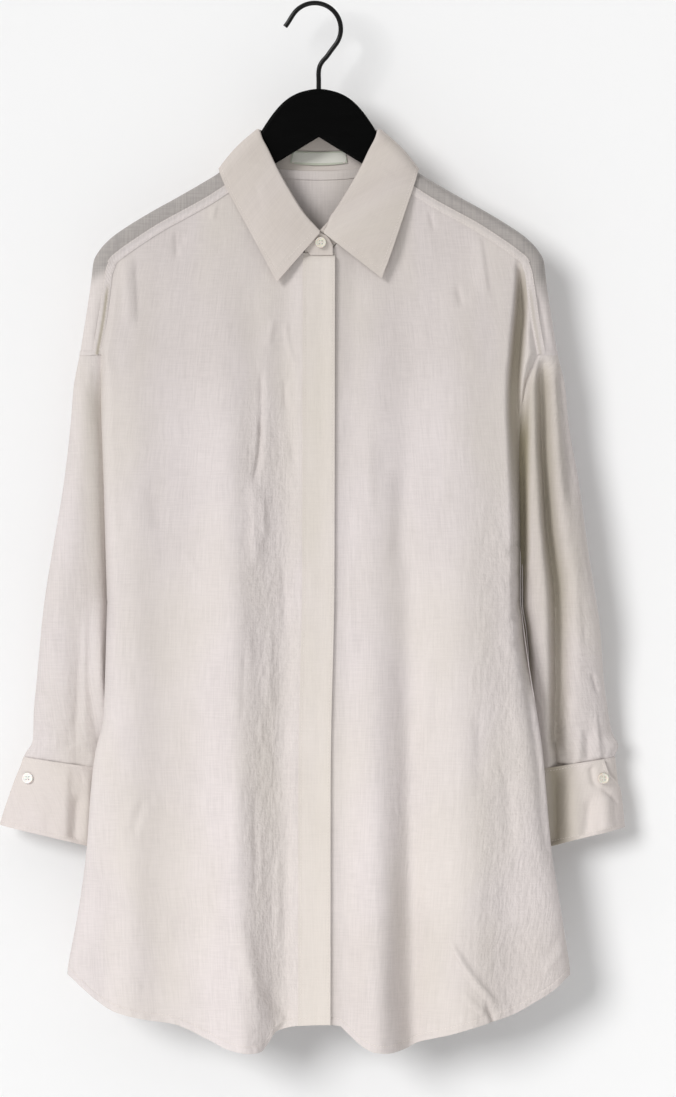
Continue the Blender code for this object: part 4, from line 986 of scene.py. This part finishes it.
def makeSleeve(side, name):
    turn, level = np.meshgrid(np.linspace(-1, 1, sleeveSizes["around"]), np.linspace(0, 1, sleeveSizes["down"]))
    seamZ = blouse["cuffSeamZ"]
    level = blend(capZ - seam, seamZ - 3, level)
    z = level - blouse["cuffSlant"] * ramp(level, -640, seamZ) * (1 - np.cos(turn * math.pi)) / 2
    x, y = armSection(side, turn, z)
    # the seam allowance lies under the front panel
    tucked = ramp(-turn, 0.95, 0.99)
    x, y = x - 3.2 * tucked, y + 1.6 * tucked
    points = np.stack((side * x, y, z), -1)
    inFront = 1 - ramp(turn, -0.15, 0.05)
    fade = ramp(1 - np.abs(turn), 0, 0.12) * ramp(capZ - z, 0, 5) * ramp(level, seamZ, seamZ + 4)
    amount = 0.22 + 0.26 * ramp(-z, 560, 700)
    ripples = amount * crinkle((turn + 3) * 85, z, 51 + side)
    height = (creaseHeight(side * x, z, sleeveCreases[side]) * inFront + ripples) * fade
    # gathered into the cuff
    height = height + 0.55 * roughness((turn + 3) * 26, z / 40, 9) * ramp(-level, 690, 716)
    sunk = (0.6 * inFront - 1.6) * ramp(seamZ + 1 - level, 0, 1.5)
    height = np.where(level < seamZ + 1, sunk, height)
    # painted shade along the front fold of the sleeve
    folds = sleeveFolds[side, front]
    off = (x - read(folds, "x", z) - 2) / 9
    shaded = read(folds, "depth", z) / 19 * np.exp(-off ** 2) * inFront
    if side == left:
        # painted shade beside the armhole, down the inner half, and on the outer half of the upper arm
        shaded = shaded + 1.6 * ramp(-turn, 0.80, 0.93) * ramp(-z, 370, 420)
        shaded = shaded + 0.6 * ramp(-z, 335, 370) * ramp(-turn, 0.1, 0.4) * (1 - 0.8 * ramp(-z, 540, 660))
        shaded = shaded + 0.35 * ramp(-z, 330, 360) * (1 - ramp(-z, 470, 600)) * ramp(turn, -0.5, -0.1) * inFront
    else:
        # painted shade in the valley beside the armhole
        shaded = shaded + 0.55 * ramp(-turn, 0.4, 0.8) * ramp(-z, 345, 390) * (1 - ramp(-z, 555, 610))
    wall = wallRound(displaced(points, -side, height), blouse["cloth"], -side, aged=np.clip(0.45 * shaded, 0, 1),
                     crushed=0.25 + 0.35 * ramp(-z, 560, 700) + (side == left) * 0.2)
    piece = makeSheet(name, [wall], singleLinen)


cuffSizes = dict(around=190, down=58, wrapMm=2.3, deepMm=66, flat=(0.25, 0.072))
cuffEdge = {
    right: table("share top", (0, -20), (0.5, -10), (1, -6)),
    left: table("share top", (0, -46), (0.2, -40), (0.36, -20), (0.5, -6), (1, -3)),
}
cuffCreases = {
    right: (
        (-245, -824, -241, -722, 11, 1.9, 0.28, 0), (-221, -728, -223, -812, 5, 2.4),
        (-231, -752, -236, -816, 6, -3.4, 0.8, 0), (-262, -770, -258, -800, 4, -0.5),
    ),
    left: (
        (262, -728, 268, -754, 3.5, -2.0, 0.8, -2), (277, -726, 279, -750, 3, 1.0),
        (272, -752, 289, -768, 3, -1.3, 0.8, 0), (274, -752, 277, -806, 7, 3.6),
        (261, -758, 256, -810, 5, -2.4), (245, -735, 245, -812, 7, 2.2),
        (227, -722, 222, -822, 9, -7.5, 0.8, 0),
    ),
}
cuffWalls = {}


def makeCuff(side, name):
    turn, share = np.meshgrid(np.linspace(0, 1, cuffSizes["around"]), np.linspace(0, 1, cuffSizes["down"]))
    top = read(cuffEdge[side], "top", share, "share")
    degrees = blend(-62.0, 360 + top, turn)
    # the end that laps over lies in front, with its edge near the outside
    out = cuffSizes["wrapMm"] * ramp(degrees, 255, 300)
    x, y, z = cuffPoint(side, degrees, share, out)
    points = np.stack((side * x, y, z), -1)
    inFront = ramp(degrees, 215, 245)
    height = creaseHeight(side * x, z, cuffCreases[side]) + 0.22 * crinkle(side * x * 1.3, z * 1.4, 61 + side)
    fromTop, fromLow = share * cuffSizes["deepMm"], (1 - share) * cuffSizes["deepMm"]
    height = height * ramp(np.minimum(fromTop, fromLow), 0, 5)
    height = (height + 0.25 * roughness(x / 6, z / 8, 3) * (1 - ramp(fromLow, 3, 9))) * inFront
    # painted shade over the inner front of the wearer's left cuff
    wall = wallRound(displaced(points, -side, height), blouse["doubled"], -side, crushed=0.35,
                     aged=0.8 * (1 - ramp(x, 223, 258)) * inFront * (side == left))
    cuffWalls[side] = wall
    piece = makeSheet(name, [wall], cuffLinen)
    columns = np.linspace(2, cuffSizes["around"] - 3, 240)
    lines = [stitchLine(wall, row, columns) for row in (2.2, cuffSizes["down"] - 4.2)]
    lines.append(stitchLine(wall, np.linspace(2.2, cuffSizes["down"] - 4.2, 60), cuffSizes["around"] - 3.0))
    sewn = makeStitches("stitches_" + name, lines)


for side, word in ((right, "right"), (left, "left")):
    makeSleeve(side, "sleeve_" + word)
    makeCuff(side, "cuff_" + word)


# placket, stand, collar, label

placketSizes = dict(columns=17, rows=330, tilt=2.3, lowZ=-977, flat=(0.031, 0.745),
                    tacks=(-695.7, -764.7, -818.5))     # where the hidden buttonholes' flap is caught
placketCreases = (
    (-4, -246, 11, -250, 1.6, 0.9, 0.5, 0), (-12, -300, -6, -306, 3, 0.3), (-14, -520, 8, -527, 4, 0.25),
)


def makePlacket():
    size = placketSizes
    across, share = np.meshgrid(np.linspace(-0.535, 0.5, size["columns"]), np.linspace(0, 1, size["rows"]))
    neckZ = blouse["neckFrontZ"]
    x = placketX(blend(neckZ, size["lowZ"], share)) + across * blouse["placketWidth"]
    z = blend(neckZ + 2.6, hemZ(front, x), share)
    # the left edge lies flat and the right one stands off, more so near the top
    tilt = size["tilt"] * (0.35 + 0.65 * np.exp(share * -5))
    under = ramp(z, neckZ - 1.2, neckZ + 0.6)
    y = bodyY(left, front, x, z) + under * 1.3 - lift
    y = y - 0.45 * (1 - ramp(across, -0.535, -0.44)) - tilt * ramp(across, 0.0, 0.5) * (1 - under)
    height = creaseHeight(x, z, placketCreases) + 0.09 * crinkle(x * 2, z * 0.8, 41)
    for tack in size["tacks"]:
        height = height - 0.35 * np.exp(-((z - tack) / 1.2) ** 2) * ramp(0.5 - np.abs(across), 0.02, 0.1)
    wall = wallRound(displaced(np.stack((x, y, z), -1), -1, height), blouse["doubled"], -1)
    piece = makeSheet("placket", [wall], doubleLinen)
    rows = np.linspace(1, size["rows"] - 2, 900)
    lines = [stitchLine(wall, rows, column) for column in (1.3, size["columns"] - 2.2)]
    lines.append(stitchLine(wall, hemRow(runAbove(wall["outer"])), np.arange(size["columns"])))
    sewn = makeStitches("stitches_placket", lines)


standSizes = dict(columns=130, rows=14, past=-1.0, flat=(0.40, 0.032))


def makeStand():
    size = standSizes
    stations = np.linspace(size["past"], 8, size["columns"])
    grids = []
    for side, some in ((right, stations), (left, stations[-2::-1])):
        at, share = np.meshgrid(some, np.linspace(0, 1, size["rows"]))
        grids.append(standPoint(side, at, share, lapShift(at) * (1 if side == right else -1)))
    wall = wallRound(np.concatenate(grids, 1), blouse["doubled"], -1, plumb=False)
    piece = makeSheet("collar_stand", [wall], collarLinen)


leafSizes = dict(columns=116, rows=30, flare={right: 0.6, left: 3.4}, deepMm=78, flat=(0.40, 0.075), area=0.026)
leafCreases = (
    (-70, -150, -38, -160, 2.5, 0.35), (-62, -170, -52, -205, 3, -0.4),
    (-44, -235, -30, -240, 2, 0.35), (60, -158, 74, -168, 2.5, 0.35),
    (48, -200, 62, -206, 2.5, -0.35), (46, -236, 56, -250, 3, 0.4),
)


def makeLeaf():
    fold = np.linspace(0, 1, 9)
    foldOut, foldUp = along(fold, (0, 0.5, 1), (0, 1.9, 2.9)), along(fold, (0, 0.5, 1), (1.3, 1.1, -1.2))
    grids = []
    count = leafSizes["columns"]
    for side, at in ((right, np.linspace(0, 8, count)), (left, np.linspace(8, 0, count)[1:])):
        roll, rise, out = standFrame(side, at)
        roll[:, 0] += (leafEnd[side] - rollPoint(np.array([0.0]))[0, 0]) * (1 - ramp(at, 0, 1))
        extra = lapShift(at)[:, None] if side == right else np.zeros((len(at), 1))
        edge = np.stack([read(leafEdge[side], axis, at, "at") for axis in "xyz"], -1)
        lines = [roll + out * (a + extra) + rise * b for a, b in zip(foldOut, foldUp)]
        start = lines[-1]
        for share in np.linspace(0, 1, leafSizes["rows"])[1:]:
            stand = leafSizes["flare"][side] * share ** 2 * np.exp(-((at - 1.6) / 1.9) ** 2)
            lines.append(blend(start, edge, share) + out * 2.0 * math.sin(share * math.pi)
                         - np.stack((0 * at, stand, 0 * at), -1))
        grids.append(np.stack(lines) * np.array((side, 1, 1)))
    points = np.concatenate(grids, 1)
    row = np.arange(points.shape[0])[:, None] - 8
    inset = (leafSizes["rows"] - 1 - row) / (leafSizes["rows"] - 1) * leafSizes["deepMm"]
    height = creaseHeight(points[..., 0], points[..., 2], leafCreases) * ramp(inset, 2, 8) * ramp(row, 0, 4)
    height = height + 0.10 * crinkle(points[..., 0] * 1.5, points[..., 2] * 1.5, 81) * ramp(row, 0, 4)
    height = height - 0.16 * np.exp(-((inset - 5) / 1.2) ** 2)
    wall = wallRound(displaced(points, 1, height), blouse["doubled"], 1, plumb=False)
    piece = makeSheet("collar", [wall], collarLinen)
    low, wide = 8 + leafSizes["rows"] - 1 - 1.9, points.shape[1] - 1
    lines = [stitchLine(wall, low, np.linspace(3.5, wide - 3.5, 400))]
    lines += [stitchLine(wall, np.linspace(10, low, 60), column) for column in (3.5, wide - 3.5)]
    sewn = makeStitches("stitches_collar", lines)


label = dict(ground="D6D5CC", border="B9BDAC", rib="C6C8BC", ribbed=0.25,
             wide=0.0545, high=0.0125, edgeMm=1.4)


def labelMaterial():
    # damask woven polyester tape: fine cross ribs, a soft shine, a darker woven border
    material, tree, shader = startMaterial("damask woven label", {"Roughness": 0.55, "Specular IOR Level": 0.4})
    place = addNode(tree, "ShaderNodeUVMap", {"uv_map": "weave"}, {})["UV"]
    parts = addNode(tree, "ShaderNodeSeparateXYZ", {}, {"Vector": place})
    inset = []
    for axis, size in (("X", label["wide"]), ("Y", label["high"])):
        middle = maths(tree, "ABSOLUTE", maths(tree, "SUBTRACT", parts[axis], size / 2))
        inset.append(maths(tree, "GREATER_THAN", middle, size / 2 - label["edgeMm"] * mm))
    ribs = addNode(tree, "ShaderNodeTexWave", {"bands_direction": "Y"}, {
        "Vector": place, "Scale": 900.0, "Distortion": 0.6})["Fac"]
    colour = mixColour(tree, maths(tree, "MAXIMUM", *inset), linear(label["ground"]), linear(label["border"]))
    colour = mixColour(tree, maths(tree, "MULTIPLY", ribs, label["ribbed"]), colour, linear(label["rib"]))
    tree.links.new(colour, shader.inputs["Base Color"])
    raised = addNode(tree, "ShaderNodeBump", {}, {"Height": ribs, "Strength": 0.4, "Distance": 0.2 * mm})
    tree.links.new(raised["Normal"], shader.inputs["Normal"])
    return material


def makeLabel():
    grids = []
    for side, stations in ((right, np.linspace(7.08, 8, 34)), (left, np.linspace(8, 7.08, 34)[1:])):
        at, share = np.meshgrid(stations, np.linspace(0.54, 0.2, 20))
        grids.append(standPoint(side, at, share, -1.55 + 0 * at))
    points = np.concatenate(grids, 1)
    u = np.linspace(-1, 1, points.shape[1])[None, :]
    v = np.linspace(0, 1, points.shape[0])[:, None]
    # tacked at its lower corners, so that the lower edge bows down and out a little between them
    points = points - np.stack((0 * u * v, 0.7 * v * (1 - u ** 4), 1.0 * v * (1 - u ** 2)), -1)
    wall = wallRound(points, 0.35, -1, plumb=False)
    piece = makeSheet("neck_label", [wall], labelMaterial())
    tacks = ((1.5, 5.0), (61.0, 64.5))
    sewn = makeStitches("stitches_label", [
        stitchLine(wall, row, np.linspace(a, b, 6), 1.2) for row in (17.2, 18.0) for a, b in tacks])


makePlacket()
makeStand()
makeLeaf()
makeLabel()


# buttons: four holes, a raised rim, sewn on with crossed thread

button = dict(
    radius=5.1, high=2.2, rim=1.15, dish=0.35, sunk=0.55, edge=0.32, holeRadius=0.62, holeAt=1.25,
    strand=0.42, shank=1.3, standOff=0.25,
    collarSunk=1.1,             # the collar's button is sunk into the leaf
    collarAt=(5.8, -18.9, -228.3), cuffAt={right: (-280.3, -742.6), left: (274.1, -742.6)},
)


def buttonMaterial(name, colour, shade):
    # cast polyester made to look like shell: creamy, half glossy, faintly clouded
    return mottledMaterial(name, shade, colour, {
        "Roughness": 0.32, "IOR": 1.54, "Specular IOR Level": 0.5, "Subsurface Weight": 0.15, "Subsurface Scale": 0.002,
    }, {"Scale": 420.0, "Detail": 3.0, "Distortion": 1.2})


def aim(direction):
    return Vector(direction).to_track_quat("Z", "Y").to_matrix().to_4x4()


def deselect():
    if bpy.context.object and bpy.context.object.mode != "OBJECT":
        bpy.ops.object.mode_set(mode="OBJECT")
    bpy.ops.object.select_all(action="DESELECT")


def modelButton():
    size = button
    deselect()
    bpy.ops.mesh.primitive_cylinder_add(vertices=56, radius=size["radius"] * mm, depth=size["high"] * mm,
                                        location=(0, 0, size["high"] / 2 * mm))
    body = bpy.context.object
    bpy.ops.object.mode_set(mode="EDIT")
    bpy.ops.mesh.select_all(action="DESELECT")
    bpy.ops.object.mode_set(mode="OBJECT")
    top = max(body.data.polygons, key=lambda face: face.center.z)
    top.select = True
    bpy.ops.object.mode_set(mode="EDIT")
    bpy.ops.mesh.select_mode(type="FACE")
    bpy.ops.mesh.inset(thickness=size["rim"] * mm, depth=0)
    bpy.ops.mesh.inset(thickness=size["dish"] * mm, depth=-size["sunk"] * mm)
    bpy.ops.object.mode_set(mode="OBJECT")
    bevel = body.modifiers.new("edges", "BEVEL")
    bevel.width, bevel.segments = size["edge"] * mm, 3
    bevel.limit_method, bevel.angle_limit = "ANGLE", math.radians(35)
    bpy.ops.object.modifier_apply(modifier=bevel.name)
    for x, y in ((1, 1), (-1, 1), (-1, -1), (1, -1)):
        deselect()
        bpy.ops.mesh.primitive_cylinder_add(vertices=20, radius=size["holeRadius"] * mm, depth=8 * mm, location=(
            x * size["holeAt"] * mm, y * size["holeAt"] * mm, 1 * mm))
        drill = bpy.context.object
        deselect()
        body.select_set(True)
        bpy.context.view_layer.objects.active = body
        cut = body.modifiers.new("hole", "BOOLEAN")
        cut.operation, cut.object, cut.solver = "DIFFERENCE", drill, "EXACT"
        bpy.ops.object.modifier_apply(modifier=cut.name)
        bpy.data.objects.remove(drill, do_unlink=True)
    bpy.context.scene.cursor.location = (0, 0, 0)
    bpy.ops.object.origin_set(type="ORIGIN_CURSOR")
    bpy.ops.object.shade_smooth_by_angle(angle=math.radians(35))
    return body


def modelButtonThread():
    # two crossed strands over the holes and a short shank below
    size = button
    made = []
    top = size["high"] - size["sunk"]
    for turn in (45, 135):
        deselect()
        bpy.ops.mesh.primitive_cylinder_add(
            vertices=14, radius=size["strand"] * mm, depth=2.7 * size["holeAt"] * mm,
            location=(0, 0, (top + 0.12) * mm), rotation=(math.pi / 2, 0, math.radians(turn)))
        strand = bpy.context.object
        bpy.ops.object.transform_apply(location=True, rotation=True, scale=True)
        for vertex in strand.data.vertices:
            away = math.hypot(vertex.co.x, vertex.co.y) / (1.4 * size["holeAt"] * mm)
            vertex.co.z -= 0.5 * mm * away ** 3
        made.append(strand)
    deselect()
    bpy.ops.mesh.primitive_cylinder_add(vertices=16, radius=size["shank"] * mm, depth=1.0 * mm,
                                        location=(0, 0, -0.25 * mm))
    made.append(bpy.context.object)
    bpy.ops.object.transform_apply(location=True, rotation=True, scale=True)
    for piece in made:
        piece.select_set(True)
    bpy.context.view_layer.objects.active = made[0]
    bpy.ops.object.join()
    joined = bpy.context.object
    bpy.context.scene.cursor.location = (0, 0, 0)
    bpy.ops.object.origin_set(type="ORIGIN_CURSOR")
    bpy.ops.object.shade_smooth_by_angle(angle=math.radians(40))
    return joined


def copyTo(pattern, name, place, material, node=None):
    mesh = pattern.data.copy()
    mesh.name = name
    mesh.transform(place)
    mesh.materials.clear()
    mesh.materials.append(material)
    return settle(addObject(name + "_shell" if node else name, mesh), node)


def makeButtons():
    pattern, sewing = modelButton(), modelButtonThread()
    cream = buttonMaterial("cream shell-like polyester", "DFD9CD", "CEC7B8")
    litCopy = buttonMaterial("shell-like polyester, paler copy in the light", "F6F3EE", "DCD8D2")
    spots = {"button_collar": (Vector(button["collarAt"]), Vector((0, -1, 0.10)), cream)}
    # painted light: the cuff button on the wearer's right, in the light, is a paler copy of the cream one
    for side, word, finish in ((right, "right", litCopy), (left, "left", cream)):
        wall, (x, z) = cuffWalls[side], button["cuffAt"][side]
        outer, normal = wall["outer"].reshape(-1, 3), wall["normal"].reshape(-1, 3)
        gap = np.hypot(outer[:, 0] - x, outer[:, 2] - z) + np.where(normal[:, 1] < 0, 0, 99)
        nearest = int(np.argmin(gap))
        # the cloth dips under the button, which lies flatter than the cuff
        facing = unit(normal[nearest] + (0, -0.8, 0))
        spots["button_cuff_" + word] = (
            Vector(outer[nearest]) + Vector((middleX, -0.6, 0)), Vector(facing), finish)
    for name, (place, facing, finish) in spots.items():
        out = button["standOff"] - (button["collarSunk"] if name == "button_collar" else 0)
        facing = facing.normalized()
        turn = aim(facing)
        turn.translation = (place + facing * out) * mm
        copyTo(pattern, name, turn, finish, name)
        copyTo(sewing, "thread_" + name, turn, thread)
    for helper in (pattern, sewing):
        bpy.data.objects.remove(helper, do_unlink=True)
    print("made buttons")


makeButtons()


# hanger

hanger = dict(thick=12.0, edge=3.2, wire=2.3)
hangerHalf = (
    (0, -80.3), (12.9, -82.1), (22, -85.2), (31.2, -90.8), (40.4, -99.8), (49.5, -112.0), (57, -123.6), (63, -131.6),
    (70, -139.6), (78, -147.6), (94.5, -161.8), (112.4, -174.2), (135.2, -187.6), (156.7, -199.8), (178.4, -212.6),
    (196.8, -225), (206.3, -235.6), (210.2, -247), (210, -258), (205.5, -265), (199, -264.5), (194.5, -255.5),
    (189, -247.6), (160, -226.0), (90, -181.4))
hangerApex = (0, -126.4)
hangerCorners = (hangerApex, (90, -181.4), (-90, -181.4))     # the others are rounded


def hangerMaterial():
    # beech with a satin black lacquer: almost no colour, a soft broad shine
    return mottledMaterial("satin black lacquered wood", "030303", "070707", {"IOR": 1.5, "Specular IOR Level": 0.04},
                           {"Scale": 1.0, "Detail": 3.0}, stretch=(40, 260, 260), rough=(0.46, 0.60), bump=(0.08, 0.3))


def hookMaterial():
    # steel wire with black powder coat: fine orange-peel, a narrow faint highlight
    return mottledMaterial("black coated steel wire", "060606", "0B0B0B",
                           {"Roughness": 0.30, "Specular IOR Level": 0.25}, {"Scale": 900.0, "Detail": 2.0},
                           bump=(0.12, 0.2))


def curveToPiece(name, data, material, turn=None):
    curve = addObject(name + "_black", data)
    deselect()
    curve.select_set(True)
    bpy.context.view_layer.objects.active = curve
    bpy.ops.object.convert(target="MESH")
    piece = bpy.context.object
    if turn is not None:
        piece.data.transform(turn)
    bpy.ops.object.mode_set(mode="EDIT")
    bpy.ops.mesh.select_all(action="SELECT")
    bpy.ops.mesh.remove_doubles(threshold=0.00002)
    bpy.ops.mesh.normals_make_consistent(inside=False)
    bpy.ops.object.mode_set(mode="OBJECT")
    bpy.ops.object.shade_smooth_by_angle(angle=math.radians(38))
    piece.data.materials.clear()
    piece.data.materials.append(material)
    return settle(piece, name)


def makeHanger():
    outline = [*hangerHalf, hangerApex] + [(-x, z) for x, z in reversed(hangerHalf[1:])]
    data = bpy.data.curves.new("hanger_body", "CURVE")
    data.dimensions, data.fill_mode, data.resolution_u = "2D", "BOTH", 6
    data.extrude = (hanger["thick"] / 2 - hanger["edge"]) * mm
    data.bevel_depth, data.bevel_resolution, data.offset = hanger["edge"] * mm, 5, -hanger["edge"] * mm
    spline = data.splines.new("BEZIER")
    spline.use_cyclic_u = True
    spline.bezier_points.add(len(outline) - 1)
    for point, (x, z) in zip(spline.bezier_points, outline):
        point.co = ((x + middleX) * mm, z * mm, 0)
        kind = "VECTOR" if (x, z) in hangerCorners else "AUTO"
        point.handle_left_type = point.handle_right_type = kind
    stood = Matrix.Rotation(math.pi / 2, 4, "X")
    curveToPiece("hanger_body", data, hangerMaterial(), stood)


def makeHook():
    # the route is counted from the hook's own axis
    arc = [math.radians(142 - 182 * i / 26) for i in range(27)]
    route = [(-28.5, -20.5), (-26.2, -17.4)] + [(25 * math.cos(a), -22.7 + 25 * math.sin(a)) for a in arc]
    route += [(15.3, -43.9), (11.4, -49.3), (7.4, -53.8), (4.9, -58.2), (3.8, -63.5), (3.8, -72.0), (3.8, -95.3)]
    data = bpy.data.curves.new("hanger_hook", "CURVE")
    data.dimensions, data.resolution_u = "3D", 5
    data.bevel_depth, data.bevel_resolution, data.use_fill_caps = hanger["wire"] * mm, 6, True
    spline = data.splines.new("BEZIER")
    spline.bezier_points.add(len(route) - 1)
    for point, (x, z) in zip(spline.bezier_points, route):
        point.co = (x * mm, 0, z * mm)
        point.handle_left_type = point.handle_right_type = "AUTO"
    curveToPiece("hanger_hook", data, hookMaterial())


makeHanger()
makeHook()
print("made hanger")


# stage, light and camera

stage = dict(wall="F6F6F6", floor="E6E6E6", wallY=0.060, floorZ=-1.45, floorHalf=30, wallHalf=3, wallTop=2.4,
             centreX=0.0223, centreZ=-0.5214, lens=250.0, pixelMm=0.96, rows=1097)
light = dict(azimuth=-45.0, elevation=27.0, keyAngle=20.0, key=1.78,
             wallAzimuth=-30.0, wallElevation=14.0, wallAngle=24.0, wallKey=1.78, room=0.50,
             low=15.0, lowFrom=(-6, -38), lowAt=(-0.1, -1.15, -1.42), lowSize=(1.6, 0.7),
             behind=26.0, behindFrom=(160, 20), behindFar=3.2, behindSize=2.4)


def stageMaterial(name, hexColour):
    return startMaterial(name, {"Base Color": linear(hexColour), "Roughness": 1.0, "Specular IOR Level": 0.0})


def wallMaterial():
    # from behind the wall is not there, so that the back of the blouse can be looked at and lit
    material, tree, shader = stageMaterial("pale wall", stage["wall"])
    clear = addNode(tree, "ShaderNodeBsdfTransparent", {}, {})[0]
    behind = addNode(tree, "ShaderNodeNewGeometry", {}, {})["Backfacing"]
    shadow = addNode(tree, "ShaderNodeLightPath", {}, {})["Is Shadow Ray"]
    mixed = addNode(tree, "ShaderNodeMixShader", {}, {
        0: maths(tree, "MAXIMUM", behind, shadow), 1: shader.outputs["BSDF"], 2: clear})[0]
    tree.links.new(mixed, tree.nodes["Material Output"].inputs["Surface"])
    return material


def stagePlane(name, corners, material):
    mesh = bpy.data.meshes.new(name)
    mesh.from_pydata(corners, [], [(0, 1, 2, 3)])
    mesh.materials.append(material)
    addObject(name, mesh)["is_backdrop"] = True


def makeStage():
    wallY, floorZ, half, top = stage["wallY"], stage["floorZ"], stage["wallHalf"], stage["wallTop"]
    far = stage["floorHalf"]
    stagePlane("floor", [(-far, -far, floorZ), (far, -far, floorZ), (far, far, floorZ), (-far, far, floorZ)],
               stageMaterial("pale floor", stage["floor"])[0])
    stagePlane("wall", [(-half, wallY, floorZ), (half, wallY, floorZ), (half, wallY, top), (-half, wallY, top)],
               wallMaterial())
    world = bpy.data.worlds.new("room")
    bpy.context.scene.world = world
    world.use_nodes = True
    sky = world.node_tree.nodes["Background"]
    sky.inputs["Color"].default_value = linear("FFFFFF")
    sky.inputs["Strength"].default_value = light["room"]


def toward(azimuth, elevation):
    # azimuth is counted to the right of straight in front
    a, e = math.radians(azimuth), math.radians(elevation)
    return Vector((math.sin(a) * math.cos(e), -math.cos(a) * math.cos(e), math.sin(e)))


def addLight(name, kind, facing, power, place=(0, 0, 0), **settings):
    data = bpy.data.lights.new(name, kind)
    data.energy = power
    for key, value in settings.items():
        setattr(data, key, value)
    lamp = addObject(name, data)
    lamp.location = place
    lamp.rotation_mode = "QUATERNION"
    lamp.rotation_quaternion = facing.to_track_quat("Z", "Y")
    lamp.visible_camera = False
    return lamp


def makeLights():
    # one window, drawn as two suns: a flatter one for the wall, so that the shadow falls as short as it does
    blouseOnly, roomOnly = (bpy.data.collections.new(name) for name in ("lit blouse", "lit room"))
    for group in (blouseOnly, roomOnly):
        bpy.context.scene.collection.children.link(group)
    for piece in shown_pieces():
        blouseOnly.objects.link(piece)
    for name in ("wall", "floor"):
        roomOnly.objects.link(bpy.data.objects[name])
    window = addLight("window", "SUN", toward(light["azimuth"], light["elevation"]), light["key"],
                      angle=math.radians(light["keyAngle"]))
    onWall = addLight("window on the wall", "SUN", toward(light["wallAzimuth"], light["wallElevation"]),
                      light["wallKey"], angle=math.radians(light["wallAngle"]))
    low = addLight("low bounce", "AREA", toward(*light["lowFrom"]), light["low"], place=light["lowAt"],
                   shape="RECTANGLE", size=light["lowSize"][0], size_y=light["lowSize"][1])
    window.light_linking.receiver_collection = blouseOnly
    low.light_linking.receiver_collection = blouseOnly
    onWall.light_linking.receiver_collection = roomOnly
    facing = toward(*light["behindFrom"])
    addLight("behind", "AREA", facing, light["behind"], place=facing * light["behindFar"] + Vector((0, 0, -0.5)),
             shape="RECTANGLE", size=light["behindSize"], size_y=light["behindSize"])


def makeCamera():
    data = bpy.data.cameras.new("camera")
    data.lens = stage["lens"]
    data.clip_end = 100
    camera = addObject("camera", data)
    distance = stage["pixelMm"] * stage["rows"] * mm * data.lens / data.sensor_width
    camera.location = (stage["centreX"], -distance, stage["centreZ"])
    camera.rotation_euler = (math.pi / 2, 0, 0)
    bpy.context.scene.camera = camera


makeStage()
makeLights()
makeCamera()
bpy.context.scene.view_settings.view_transform = "Standard"
print("stage made")
